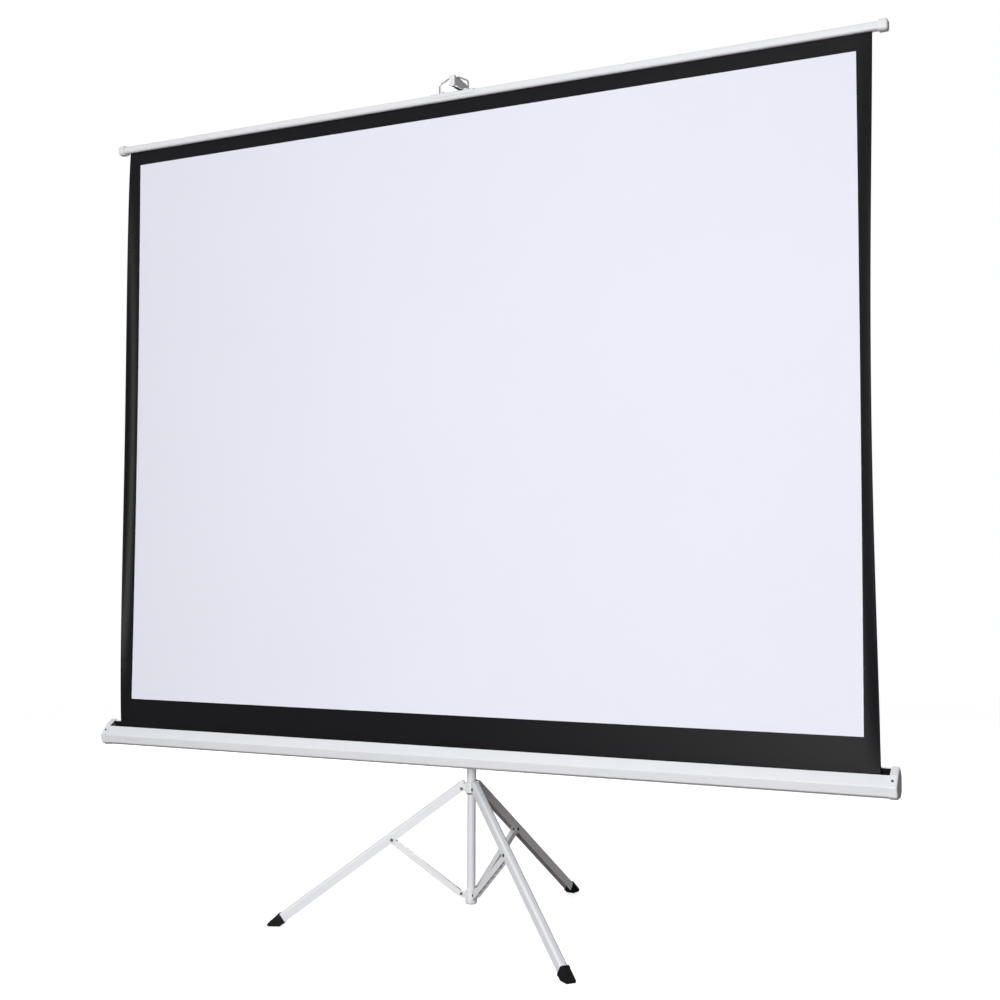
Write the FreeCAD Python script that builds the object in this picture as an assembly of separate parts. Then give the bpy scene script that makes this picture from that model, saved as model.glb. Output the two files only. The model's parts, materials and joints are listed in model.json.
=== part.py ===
import FreeCAD, Part
import math
import os

# Pull-up projection screen on a folding tripod. Lengths are in millimetres, angles in degrees.
# While the pieces are made, the post's axis is the Z axis and the floor is z = 0.
# The viewing side faces -Y. Each piece is written with the origin on the floor
# under the middle of the footprint.

# Cross recess in a screw's head, as shares of the head's radius and height
recess_length_share = 0.62
recess_width_share = 0.17
recess_depth_share = 0.6

# Cuts run past the surfaces that they open by this much.
overrun = 2.0
# Points closer than this are one point.
same_place = 0.001
# Gap between faces of pieces that move past each other.
clearance = 0.3
# Radial gap of a shaft or tube that turns or slides in its bore.
running_gap = 0.05
# Radial gap of the lower brace pivots, which close the linkage.
open_pivot_gap = 0.15

# Fabric
view_width = 2032.0
view_height = 1524.0
side_border = 36.5
top_border = 38.5
lower_border = 61.0
fabric_thickness = 0.5
fabric_to_post = 115.0
border_curl_angle = 38.0
curl_level_count = 7

# Case, measured from the fabric's plane and from the case's base
case_height = 65.5
case_end_margin = 35.5
case_wall = 1.5
hub_to_case = 51.5
case_corner_radius = 4.0
front_lip_height = 50.0
front_lip_reach = 18.0
front_knee_height = 27.0
front_knee_reach = 38.0
front_toe_height = 6.0
front_toe_reach = 33.0
base_front_reach = 20.0
base_back_reach = 10.0
heel_height = 12.0
case_back_reach = 22.0
shoulder_height = 46.0
rear_lip_reach = 5.0
lip_return = 4.0
hem_radius = 1.2

# End caps of the case
cap_wall = 1.8
cap_skirt = 14.0
cap_end = 4.2
cap_rounding = 4.0
tower_thickness = 14.0
tower_gap = 17.0
tower_half_width = 11.0
tower_head_half_width = 5.0
tower_toe_height = 5.0
tower_height = 44.0
tower_boss_radius = 9.0
bracket_spigot_length = 2.0

# Screws through the cap skirts
cap_screw_radius = 1.6
cap_screw_length = 6.0
cap_screw_head_radius = 3.0
cap_screw_head_height = 1.2
cap_screw_height = 38.5

# Roller
roller_radius = 12.0
roller_wall = 0.8
roller_axis_height = 24.0
roller_margin = 1.0
wrap_thickness = 0.8
plug_flange_radius = 17.0
plug_flange_thickness = 2.0
plug_spigot_length = 30.0
idle_pin_radius = 3.0
idle_pin_length = 44.0
spindle_radius = 4.0
spindle_length = 430.0
spindle_collar_radius = 9.5
spindle_collar_length = 8.0
spring_outer_radius = 9.5
spring_inner_radius = 6.5

# Top bar
bar_height = 19.0
bar_depth = 22.0
bar_wall = 1.6
bar_corner_radius = 6.0
bar_end_margin = 27.5
bar_slot_width = 3.0
bar_rib_thickness = 1.2
bar_rib_height = 12.6
fabric_tuck = 12.3
hem_rod_radius = 1.8
bar_cap_height = 26.0
bar_cap_depth = 27.0
bar_cap_skirt = 12.0
bar_cap_end = 8.0
bar_cap_corner_radius = 8.0
bar_cap_rounding = 5.0

# Bail and the clip that carries it
wire_radius = 2.0
bail_half_width = 41.0
bail_top_half_width = 14.0
bail_knee_drop = 13.0
bail_bend_radius = 8.0
bail_foot_bend_radius = 3.0
bail_foot_length = 12.0
clip_length = 124.0
clip_thickness = 2.0
clip_grip_height = 9.0
knuckle_radius = 3.6
knuckle_length = 8.5
knuckle_rise = 4.2
clip_rivet_radius = 2.0
clip_rivet_head_radius = 3.6
clip_rivet_head_height = 1.1
clip_rivet_gap = 1.5

# Post
post_radius = 12.5
post_wall = 1.2
post_length = 1154.0

# Collar at the post's top
collar_radius = 19.0
collar_grip_length = 35.0
collar_head_length = 30.0
collar_rounding = 3.0

# Extension pole
pole_radius = 10.9
pole_wall = 1.0
pole_length = 1070.0
glide_collar_length = 8.0
glide_spigot_length = 22.0

# Hook arm
arm_width = 15.0
arm_wall = 2.5
arm_rib = 2.0
arm_rise = 44.5
arm_nose_reach = 11.0
arm_nose_depth = 27.0
arm_root_depth = 24.0
arm_crown_drop = 18.0
arm_knee_drop = 5.0
arm_knee_radius = 16.0
arm_gusset_length = 50.0
arm_sleeve_radius = 14.5
arm_sleeve_length = 72.0
arm_cap_thickness = 4.0
notch_depth = 7.0
notch_mouth_half_width = 5.2
notch_floor_half_width = 2.6
notch_seat_gap = 0.15
nose_rounding = 3.0
arm_rivet_radius = 2.0
arm_rivet_head_radius = 3.6
arm_rivet_head_height = 1.2
arm_rivet_drop = 38.0

# Leg hub
hub_radius = 16.7
hub_rise = 18.0
hub_drop = 10.0
hub_rounding = 3.0
pivot_ring_radius = 25.0
lug_tip_radius = 6.5
lug_root_drop = 8.5
lug_root_rise = 15.0
bush_flange_radius = 13.4
bush_flange_thickness = 4.0
bush_spigot_length = 14.0
hub_screw_radius = 2.0
hub_screw_head_radius = 3.5
hub_screw_head_height = 1.5
hub_screw_azimuth = 142.0

# Legs and braces
leg_count = 3
leg_spread_angle = 53.5
front_leg_azimuth = -38.0
linkage_length = 223.0
leg_length = 582.0
leg_end_rise = 9.8
leg_width = 20.0
leg_wall = 1.4
leg_back = 18.0
leg_lip = 7.0
leg_corner_radius = 6.5
leg_heel_reach = 5.5
leg_throat_reach = 10.0
leg_crown_reach = 17.0
leg_shoulder_reach = 8.0
leg_throat_height = 2.0
leg_crown_height = 12.0
brace_width = 14.0
brace_wall = 1.5
brace_open_side = 9.5
brace_back_side = 6.0
brace_end_reach = 7.5
brace_rib_count = 6
brace_rib_thickness = 1.8
brace_rib_inset = 1.5
brace_web_setback = 13.0
brace_boss_radius = 6.0

# Rivets of the linkage
leg_pin_radius = 2.5
leg_pin_head_radius = 4.4
lower_pin_radius = 2.0
lower_pin_head_radius = 3.6
pin_head_height = 1.1
pin_head_chamfer = 0.5

# Rubber feet
boot_overlap = 12.0
boot_sole = 30.0
boot_half_width = 11.5
boot_lip = 8.2
boot_back = 19.2
boot_toe_back = 16.0
boot_rounding = 4.0
boot_rim_length = 6.0
boot_rim_height = 0.6

# Spreader
spreader_hub_radius = 15.0
spreader_hub_drop = 26.5
spreader_hub_rise = 11.3
spreader_seat_drop = 22.7
spreader_length = 484.0
spreader_cup_rounding = 6.0
spreader_lug_tip_radius = 6.0
spreader_lug_root_drop = 15.0
spreader_lug_root_rise = 9.0
spreader_screw_radius = 2.0
spreader_screw_head_radius = 3.2
spreader_screw_head_height = 1.2

# Carriage
sleeve_radius = 20.0
sleeve_drop = 13.5
sleeve_length = 72.0
sleeve_rounding = 3.0
swivel_rise = 29.0
swivel_pad_half_size = 21.0
swivel_pad_thickness = 6.0
swivel_pad_rounding = 8.0
cheek_thickness = 5.0
cheek_offset = 13.0
cheek_height = 40.0
cheek_web_thickness = 4.0
pivot_plate_length = 84.0
pivot_plate_height = 31.0
pivot_plate_thickness = 2.5
pivot_plate_rounding = 6.0
pivot_bolt_radius = 5.0
pivot_head_radius = 8.5
pivot_head_height = 3.0
washer_radius = 11.0
washer_thickness = 1.5
nut_across_flats = 16.0
nut_height = 7.0
plate_screw_radius = 2.0
plate_screw_head_radius = 3.6
plate_screw_head_height = 1.6
plate_screw_tail = 2.0
plate_screw_spacing = 66.0

# Clamp knobs
knob_radius = 18.0
knob_thickness = 13.0
knob_rounding = 3.0
knob_flute_count = 6
knob_flute_radius = 7.0
knob_flute_offset = 22.0
knob_stem_radius = 3.0
knob_neck_radius = 7.5
knob_neck_length = 7.0
clamp_boss_radius = 10.0
clamp_boss_reach = 30.0
shoe_radius = 5.0
shoe_thickness = 3.0
shoe_gap = 0.1

# Carry handle
handle_drop = 570.0
handle_length = 156.0
handle_reach = 56.0
handle_grip_thickness = 14.0
handle_width = 20.0
handle_foot_length = 22.0
handle_foot_thickness = 5.0
handle_slope_length = 14.0
handle_rounding = 6.0
handle_rivet_radius = 2.0
handle_rivet_head_radius = 3.8
handle_rivet_head_height = 1.2

# Heights and places that follow from the sizes above
leg_slope = math.radians(leg_spread_angle)
hub_pivot_height = leg_length * math.cos(leg_slope) + leg_end_rise
hub_top = hub_pivot_height + hub_rise
post_bottom = hub_pivot_height - hub_drop
post_top = post_bottom + post_length
handle_bottom = post_top - handle_drop
boot_start = leg_length - boot_overlap
boot_end = leg_length + boot_sole
lower_pivot_height = hub_pivot_height - 2 * linkage_length * math.cos(leg_slope)
spreader_hub_bottom = lower_pivot_height - spreader_hub_drop
spreader_hub_top = lower_pivot_height + spreader_hub_rise
spreader_seat_height = lower_pivot_height - spreader_seat_drop
spreader_top = spreader_seat_height + spreader_length
case_base_height = hub_top + hub_to_case
view_low = case_base_height + case_height + lower_border
fabric_width = view_width + 2 * side_border
case_length = fabric_width + 2 * case_end_margin
bar_length = fabric_width + 2 * bar_end_margin
fabric_y = -fabric_to_post
bar_base = view_low + view_height + top_border
bar_top = bar_base + bar_height
arm_top = bar_top + arm_rise
wrap_radius = roller_radius + wrap_thickness
roller_y = fabric_y - wrap_radius - fabric_thickness / 2 - clearance
roller_z = case_base_height + roller_axis_height
roller_length = fabric_width + 2 * roller_margin
case_end_x = case_length / 2
case_back_y = fabric_y + case_back_reach
swivel_height = case_base_height + swivel_rise
sleeve_bottom = case_base_height - sleeve_drop
tower_x = case_end_x - tower_gap - tower_thickness
sleeve_top = arm_top - arm_crown_drop
pole_top = sleeve_top - arm_cap_thickness
pole_bottom = pole_top - pole_length
sleeve_foot = sleeve_top - arm_sleeve_length
hook_rivet_height = sleeve_top - arm_rivet_drop
wire_height = arm_top - notch_depth + notch_seat_gap + wire_radius
knuckle_height = bar_top + knuckle_rise
knuckle_start = bail_half_width - bail_foot_bend_radius - clearance - knuckle_length
post_bore = post_radius - post_wall
pole_bore = pole_radius + running_gap
glide_radius = post_bore - running_gap
leg_inner_half_width = leg_width / 2 - leg_wall
hub_lug_half_thickness = leg_inner_half_width - clearance
spreader_lug_half_thickness = brace_width / 2 - brace_wall - clearance
leg_azimuths = [front_leg_azimuth + k * 360 / leg_count for k in range(leg_count)]
carriage_knob_height = sleeve_bottom + sleeve_length / 2
collar_knob_height = post_top + collar_head_length / 2
washer_y = case_back_y + pivot_plate_thickness
pad_y = washer_y + washer_thickness
nut_y = pad_y + swivel_pad_thickness

V = FreeCAD.Vector
ORIGIN = V(0, 0, 0)
RIGHT = V(1, 0, 0)
BACK = V(0, 1, 0)
UP = V(0, 0, 1)


def footprint_shift():
    """Return how far the pieces move along Y to bring the footprint's middle to the origin."""
    tip = pivot_ring_radius + boot_end * math.sin(leg_slope) + boot_toe_back * math.cos(leg_slope)
    reaches = []
    for azimuth in leg_azimuths:
        angle = math.radians(azimuth)
        side = math.copysign(boot_half_width * abs(math.cos(angle)), math.sin(angle))
        reaches.append(tip * math.sin(angle) + side)
    return -(max(reaches) + min(reaches)) / 2


post_y = footprint_shift()


def emit(name, shape):
    """Move a finished piece into the part's frame and write it."""
    piece = shape.copy()
    piece.translate(BACK * post_y)
    piece.exportStep("parts/" + name + ".step")


def fuse(first, *others):
    """Join solids into one and drop the seams between them."""
    return first.multiFuse(list(others)).removeSplitter()


def corner_arc(before, corner, after, radius):
    """Return the start, middle and end of the arc that rounds a corner."""
    toward_before = (before - corner).normalize()
    toward_after = (after - corner).normalize()
    half_angle = toward_before.getAngle(toward_after) / 2
    reach = radius / math.tan(half_angle)
    inward = (toward_before + toward_after).normalize()
    middle = corner + inward * (radius / math.sin(half_angle) - radius)
    return corner + toward_before * reach, middle, corner + toward_after * reach


def rounded_wire(corners, radii, closed=True):
    """Return a wire through the corners, each rounded by its radius, or sharp where that is zero."""
    count = len(corners)
    if not isinstance(radii, list):
        radii = [radii] * count
    spans = []
    for k, corner in enumerate(corners):
        inner = closed or 0 < k < count - 1
        if radii[k] > 0 and inner:
            spans.append(corner_arc(corners[k - 1], corner, corners[(k + 1) % count], radii[k]))
        else:
            spans.append((corner, None, corner))
    edges = []
    for k, (start, middle, end) in enumerate(spans):
        if middle is not None:
            edges.append(Part.Arc(start, middle, end).toShape())
        following = spans[(k + 1) % count][0]
        if (closed or k < count - 1) and end.distanceToPoint(following) > same_place:
            edges.append(Part.makeLine(end, following))
    return Part.Wire(edges)


def side_prism(points, x_start, length, radii=0):
    """Extrude an outline of (y, z) points along X."""
    corners = [V(x_start, y, z) for y, z in points]
    return Part.Face(rounded_wire(corners, radii)).extrude(RIGHT * length)


def front_prism(points, y_start, length, radii=0):
    """Extrude an outline of (x, z) points along Y."""
    corners = [V(x, y_start, z) for x, z in points]
    return Part.Face(rounded_wire(corners, radii)).extrude(BACK * length)


def spin(points, radii=0):
    """Revolve an outline of (radius, height) points about the Z axis."""
    corners = [V(r, 0, z) for r, z in points]
    return Part.Face(rounded_wire(corners, radii)).revolve(ORIGIN, UP, 360)


def rod(radius, start, direction, length):
    """Return a round bar."""
    return Part.makeCylinder(radius, length, start, direction)


def tube(outer, inner, start, direction, length):
    """Return a round tube."""
    bore = rod(inner, start - direction * overrun, direction, length + 2 * overrun)
    return rod(outer, start, direction, length).cut(bore)


def block(x_low, x_high, y_low, y_high, z_low, z_high):
    """Return a box between two corners."""
    return Part.makeBox(x_high - x_low, y_high - y_low, z_high - z_low, V(x_low, y_low, z_low))


def mirrored(shape):
    """Return the piece's mirror image across x = 0."""
    return shape.mirror(ORIGIN, RIGHT)


def turned(shape, azimuth):
    """Return a copy turned about the post's axis."""
    piece = shape.copy()
    piece.rotate(ORIGIN, UP, azimuth)
    return piece


def headed_pin(radius, length, head_radius, head_height, start, direction, two_heads=False):
    """Return a pin whose head lies before its start, and whose shank runs along the direction."""
    pin = fuse(
        rod(radius, start, direction, length),
        Part.makeCone(head_radius - pin_head_chamfer, head_radius, head_height,
                      start - direction * head_height, direction),
    )
    if two_heads:
        tail = Part.makeCone(head_radius, head_radius - pin_head_chamfer, head_height,
                             start + direction * length, direction)
        pin = fuse(pin, tail)
    return pin


def screw(radius, length, head_radius, head_height, start, direction):
    """Return a headed pin with a cross recess in its head."""
    arm = head_radius * recess_length_share
    width = head_radius * recess_width_share
    depth = head_height * recess_depth_share
    cross = fuse(
        block(-arm, arm, -width, width, -depth, overrun),
        block(-width, width, -arm, arm, -depth, overrun),
    )
    cross.Placement = FreeCAD.Placement(start - direction * head_height, FreeCAD.Rotation(UP, -direction))
    return headed_pin(radius, length, head_radius, head_height, start, direction).cut(cross)


def shifted(points, distance, closed):
    """Return a path moved to its left by a distance, with mitred corners."""
    count = len(points)
    normals = []
    for k in range(count if closed else count - 1):
        (y0, z0), (y1, z1) = points[k], points[(k + 1) % count]
        length = math.hypot(y1 - y0, z1 - z0)
        normals.append(((z0 - z1) / length, (y1 - y0) / length))
    moved = []
    for k, (y, z) in enumerate(points):
        before = normals[k - 1] if closed or k > 0 else normals[0]
        after = normals[k] if closed or k < count - 1 else normals[-1]
        reach = distance / (1 + before[0] * after[0] + before[1] * after[1])
        moved.append((y + (before[0] + after[0]) * reach, z + (before[1] + after[1]) * reach))
    return moved


def case_path():
    """Return the case's outside from the front lip, under the base, to the rear lip."""
    points = [
        (-front_lip_reach, front_lip_height),
        (-front_knee_reach, front_knee_height),
        (-front_toe_reach, front_toe_height),
        (-base_front_reach, 0),
        (base_back_reach, 0),
        (case_back_reach, heel_height),
        (case_back_reach, shoulder_height),
        (rear_lip_reach, case_height),
    ]
    return [(fabric_y + y, case_base_height + z) for y, z in points]


def cap_screw_places():
    """Return the start and inward direction of the screws that hold the right cap."""
    x = case_end_x - cap_skirt / 2
    (lip_y, lip_z), (knee_y, knee_z) = case_path()[:2]
    share = (case_base_height + cap_screw_height - knee_z) / (lip_z - knee_z)
    on_front = V(x, knee_y + (lip_y - knee_y) * share, knee_z + (lip_z - knee_z) * share)
    front_inward = V(0, lip_z - knee_z, knee_y - lip_y).normalize()
    on_back = V(x, case_back_y, case_base_height + (heel_height + shoulder_height) / 2)
    on_base = V(x, fabric_y + (base_back_reach - base_front_reach) / 2, case_base_height)
    places = [(on_front, front_inward), (on_back, -BACK), (on_base, UP)]
    return [(point - inward * cap_wall, inward) for point, inward in places]


def both_ends(places):
    """Return the places and their mirror images across x = 0."""
    return places + [(V(-point.x, point.y, point.z), inward) for point, inward in places]


def plate_screw_places():
    """Return where the pivot plate's screws enter the case's back."""
    return [V(side * plate_screw_spacing / 2, case_back_y, swivel_height) for side in (-1, 1)]


def case_shell():
    """Folded housing with an open slot between its two hemmed lips."""
    outside = case_path()
    (front_y, front_z), (rear_y, rear_z) = outside[0], outside[-1]
    outside.insert(0, (front_y + lip_return, front_z - lip_return / 2))
    outside.append((rear_y - lip_return / 2, rear_z - lip_return))
    inside = shifted(outside, case_wall, closed=False)
    bends = len(outside) - 4
    outer_radii = [0, hem_radius] + [case_corner_radius] * bends + [hem_radius, 0]
    inner_radii = [0, 0] + [case_corner_radius - case_wall] * bends + [0, 0]
    shell = side_prism(outside + inside[::-1], -case_end_x, case_length, outer_radii + inner_radii)
    holes = [rod(cap_screw_radius + running_gap, point, inward, cap_screw_length)
             for point, inward in both_ends(cap_screw_places())]
    inside_back = BACK * (case_wall + overrun)
    drill = case_wall + 2 * overrun
    for point in plate_screw_places():
        holes.append(rod(plate_screw_radius + running_gap, point - inside_back, BACK, drill))
    centre = V(0, case_back_y, swivel_height)
    holes.append(rod(pivot_bolt_radius + running_gap, centre - inside_back, BACK, drill))
    return shell.cut(holes)


def end_cap():
    """Right end cap: a skirt round the case and a rounded end with a socket for the roller bracket."""
    seat = case_path()
    outline = shifted(seat, -cap_wall, closed=True)
    seat_radii = [hem_radius] + [case_corner_radius] * (len(seat) - 2) + [hem_radius]
    outer_radii = [radius + cap_wall for radius in seat_radii]
    skirt_x = case_end_x - cap_skirt
    shell = side_prism(outline, skirt_x, cap_skirt + cap_end, outer_radii)
    outer_end = case_end_x + cap_end
    rim = [edge for edge in shell.Edges
           if edge.BoundBox.XMin > outer_end - same_place and edge.BoundBox.XMax < outer_end + same_place]
    shell = shell.makeFillet(cap_rounding, rim)
    tools = [
        side_prism(seat, skirt_x - overrun, cap_skirt + overrun, seat_radii),
        rod(tower_boss_radius, V(skirt_x, roller_y, roller_z), RIGHT, cap_skirt + bracket_spigot_length),
    ]
    for point, inward in cap_screw_places():
        tools.append(rod(cap_screw_radius + running_gap, point - inward * overrun, inward,
                         cap_wall + 2 * overrun))
    return shell.cut(tools)


def roller_bracket(pin_radius):
    """Right bracket: a tower that holds the roller's pin and a boss that seats in the end cap."""
    foot = case_base_height + case_wall + clearance
    head = case_base_height + tower_height
    tower = side_prism([
        (roller_y - tower_head_half_width, foot),
        (roller_y + tower_half_width, foot),
        (roller_y + tower_half_width, roller_z),
        (roller_y + tower_head_half_width, head),
        (roller_y - tower_head_half_width, head),
        (roller_y - tower_half_width, roller_z),
        (roller_y - tower_half_width, foot + tower_toe_height),
    ], tower_x, tower_thickness, [0, 0, 0, cap_wall, cap_wall, 0, 0])
    boss_x = tower_x + tower_thickness
    boss_length = case_end_x - boss_x + bracket_spigot_length
    boss = rod(tower_boss_radius, V(boss_x, roller_y, roller_z), RIGHT, boss_length)
    hole = rod(pin_radius, V(tower_x - overrun, roller_y, roller_z), RIGHT, tower_thickness + overrun)
    return fuse(tower, boss).cut(hole)


def cap_screws():
    """Screws through the skirts of both end caps: one in front, one behind and one below on each."""
    return Part.makeCompound([
        screw(cap_screw_radius, cap_screw_length, cap_screw_head_radius, cap_screw_head_height, point, inward)
        for point, inward in both_ends(cap_screw_places())
    ])


def roller_tube():
    """Steel tube on which the fabric winds."""
    start = V(-roller_length / 2, roller_y, roller_z)
    return tube(roller_radius, roller_radius - roller_wall, start, RIGHT, roller_length)


def fabric_wrap():
    """Turns of fabric that stay on the roller."""
    start = V(-fabric_width / 2, roller_y, roller_z)
    return tube(wrap_radius, roller_radius, start, RIGHT, fabric_width)


def roller_plug(bore_radius):
    """Right plug: a flange against the tube's end and a spigot inside it."""
    end = V(roller_length / 2, roller_y, roller_z)
    spigot = rod(roller_radius - roller_wall, end - RIGHT * plug_spigot_length, RIGHT, plug_spigot_length)
    body = fuse(spigot, rod(plug_flange_radius, end, RIGHT, plug_flange_thickness))
    start = end - RIGHT * (plug_spigot_length + overrun)
    length = plug_spigot_length + plug_flange_thickness + 2 * overrun
    return body.cut(rod(bore_radius, start, RIGHT, length))


def idle_pin():
    """Plain pin in the left tower, drawn on the right side."""
    end = V(tower_x + tower_thickness, roller_y, roller_z)
    return rod(idle_pin_radius, end - RIGHT * idle_pin_length, RIGHT, idle_pin_length)


def spring_spindle():
    """Fixed spindle in the right tower, with the collar that anchors the spring."""
    end = V(tower_x + tower_thickness, roller_y, roller_z)
    start = end - RIGHT * spindle_length
    collar = rod(spindle_collar_radius, start, RIGHT, spindle_collar_length)
    return fuse(rod(spindle_radius, start, RIGHT, spindle_length), collar)


def torsion_spring():
    """Closely wound spring sleeve between the right plug and the spindle's collar."""
    end_x = roller_length / 2 - plug_spigot_length
    start_x = tower_x + tower_thickness - spindle_length + spindle_collar_length + clearance
    start = V(start_x, roller_y, roller_z)
    return tube(spring_outer_radius, spring_inner_radius, start, RIGHT, end_x - start_x)


def fabric_section(height, curl):
    """Return the fabric's outline at one height, with its side borders curled forward."""
    half = view_width / 2
    step = side_border / 2
    first_turn_share = 0.6
    x, y = half, 0
    points = [(x, y)]
    for turn in (curl * first_turn_share, curl * (2 - first_turn_share)):
        x += step * math.cos(math.radians(turn))
        y -= step * math.sin(math.radians(turn))
        points.append((x, y))
    line = [(-px, py) for px, py in points[::-1]] + points
    front = [V(px, fabric_y + py - fabric_thickness / 2, height) for px, py in line]
    rear = [V(px, fabric_y + py + fabric_thickness / 2, height) for px, py in line]
    return Part.makePolygon(front + rear[::-1] + front[:1])


def screen_fabric():
    """Sheet from the roller to the top bar's slot."""
    low = case_base_height + case_height
    sections = [fabric_section(roller_z, 0)]
    for k in range(curl_level_count):
        share = k / (curl_level_count - 1)
        curl = border_curl_angle * math.sin(math.pi * share)
        sections.append(fabric_section(low + (bar_base - low) * share, curl))
    sections.append(fabric_section(bar_base + fabric_tuck, 0))
    return Part.makeLoft(sections, True, True)


def bar_outline(margin):
    """Return the top bar's outer corners, grown by a margin, as (y, z) points."""
    half = bar_depth / 2 + margin
    low = bar_base - margin
    high = bar_top + margin
    front = fabric_y - half
    back = fabric_y + half
    return [(front, low), (back, low), (back, high), (front, high)]


def top_bar():
    """Hollow extrusion with a slot between two ribs for the fabric's hem."""
    start = -bar_length / 2
    body = side_prism(bar_outline(0), start, bar_length, bar_corner_radius)
    inside = side_prism(bar_outline(-bar_wall), start - overrun, bar_length + 2 * overrun,
                        bar_corner_radius - bar_wall)
    half = bar_slot_width / 2 + bar_rib_thickness
    ribs = block(start, -start, fabric_y - half, fabric_y + half,
                 bar_base + bar_wall / 2, bar_base + bar_rib_height)
    slot = block(start - overrun, overrun - start, fabric_y - bar_slot_width / 2,
                 fabric_y + bar_slot_width / 2, bar_base - overrun, bar_base + bar_rib_height + overrun)
    body = fuse(body.cut(inside), ribs).cut(slot)
    holes = [rod(clip_rivet_radius, V(x, fabric_y, bar_top - bar_wall - overrun), UP, bar_wall + 2 * overrun)
             for x in clip_rivet_xs()]
    return body.cut(holes)


def hem_rod():
    """Rod that rests on the slot's ribs and holds the fabric's hem."""
    length = fabric_width
    start = V(-length / 2, fabric_y, bar_base + bar_rib_height + hem_rod_radius)
    return rod(hem_rod_radius, start, RIGHT, length)


def bar_cap():
    """Right end cap of the top bar."""
    half = bar_cap_depth / 2
    middle = bar_base + bar_height / 2
    low = middle - bar_cap_height / 2
    high = middle + bar_cap_height / 2
    start = bar_length / 2 - bar_cap_skirt
    front = fabric_y - half
    back = fabric_y + half
    outline = [(front, low), (back, low), (back, high), (front, high)]
    cap = side_prism(outline, start, bar_cap_skirt + bar_cap_end, bar_cap_corner_radius)
    outer_end = bar_length / 2 + bar_cap_end
    rim = [edge for edge in cap.Edges if edge.BoundBox.XMin > outer_end - same_place]
    cap = cap.makeFillet(bar_cap_rounding, rim)
    pocket = side_prism(bar_outline(0), start - overrun, bar_cap_skirt + overrun, bar_corner_radius)
    return cap.cut(pocket)


def clip_rivet_xs():
    """Return the places of the clip's rivets along the bar."""
    reach = knuckle_start - clip_rivet_gap - clip_rivet_head_radius
    return [-reach, reach]


def bail():
    """Bent wire loop that hangs the top bar on the hook arm."""
    knee = wire_height - bail_knee_drop
    half = [
        (bail_half_width - bail_foot_length, knuckle_height),
        (bail_half_width, knuckle_height),
        (bail_half_width, knee),
        (bail_top_half_width, wire_height),
    ]
    points = [(-x, z) for x, z in half] + half[::-1]
    corners = [V(x, fabric_y, z) for x, z in points]
    bends = [0, bail_foot_bend_radius, bail_bend_radius, bail_bend_radius]
    path = rounded_wire(corners, bends + bends[::-1], closed=False)
    section = Part.Wire([Part.makeCircle(wire_radius, corners[0], RIGHT)])
    return path.makePipeShell([section], True, False)


def bail_clip():
    """Saddle that grips the bar's top and carries the bail's feet in two knuckles."""
    start = -clip_length / 2
    outer = side_prism(bar_outline(clip_thickness), start, clip_length, bar_corner_radius + clip_thickness)
    inner = side_prism(bar_outline(0), start - overrun, clip_length + 2 * overrun, bar_corner_radius)
    reach = bar_depth
    below = block(start - overrun, overrun - start, fabric_y - reach, fabric_y + reach,
                  bar_base - bar_height, bar_base + clip_grip_height)
    saddle = outer.cut([inner, below])
    pieces = []
    for x in (knuckle_start, -knuckle_start - knuckle_length):
        pieces.append(rod(knuckle_radius, V(x, fabric_y, knuckle_height), RIGHT, knuckle_length))
        pieces.append(block(x, x + knuckle_length, fabric_y - knuckle_radius, fabric_y + knuckle_radius,
                            bar_top + clip_thickness / 2, knuckle_height))
    body = fuse(saddle, *pieces)
    bore = rod(wire_radius + running_gap, V(-bail_half_width, fabric_y, knuckle_height), RIGHT,
               2 * bail_half_width)
    holes = [rod(clip_rivet_radius, V(x, fabric_y, bar_top - overrun), UP, clip_thickness + 2 * overrun)
             for x in clip_rivet_xs()]
    return body.cut([bore] + holes)


def clip_rivets():
    """Rivets that hold the clip on the bar."""
    top = bar_top + clip_thickness
    return Part.makeCompound([
        headed_pin(clip_rivet_radius, clip_thickness + bar_wall, clip_rivet_head_radius,
                   clip_rivet_head_height, V(x, fabric_y, top), -UP)
        for x in clip_rivet_xs()
    ])


def handle_rivet_places():
    """Return where the handle's rivets meet its feet."""
    y = post_radius + handle_foot_thickness
    low = handle_bottom + handle_foot_length / 2
    return [V(0, y, low), V(0, y, handle_bottom + handle_length - handle_foot_length / 2)]


def post_tube():
    """Outer tube from the leg hub to the collar."""
    body = tube(post_radius, post_bore, V(0, 0, post_bottom), UP, post_top - post_bottom)
    tools = [rod(handle_rivet_radius, V(0, 0, point.z), BACK, post_radius + overrun)
             for point in handle_rivet_places()]
    start, outward = hub_screw_place()
    tools.append(rod(hub_screw_radius, start - outward * hub_radius, outward, hub_radius))
    return body.cut(tools)


def hub_screw_place():
    """Return where the hub's fixing screw meets the hub, and its outward direction."""
    angle = math.radians(hub_screw_azimuth)
    outward = V(math.cos(angle), math.sin(angle), 0)
    return outward * hub_radius + UP * hub_pivot_height, outward


def lug(half_thickness, root_radius, pivot_height, drop, rise, tip_radius, pin_radius):
    """Return one bored lug in the plane of azimuth zero."""
    tip = pivot_ring_radius + tip_radius
    points = [
        (root_radius, pivot_height - drop),
        (tip, pivot_height - tip_radius),
        (tip, pivot_height + tip_radius),
        (root_radius, pivot_height + rise),
    ]
    rounding = tip_radius * 0.9
    body = front_prism(points, -half_thickness, 2 * half_thickness, [0, rounding, rounding, 0])
    start = V(pivot_ring_radius, -half_thickness - overrun, pivot_height)
    return body.cut(rod(pin_radius, start, BACK, 2 * half_thickness + 2 * overrun))


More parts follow.
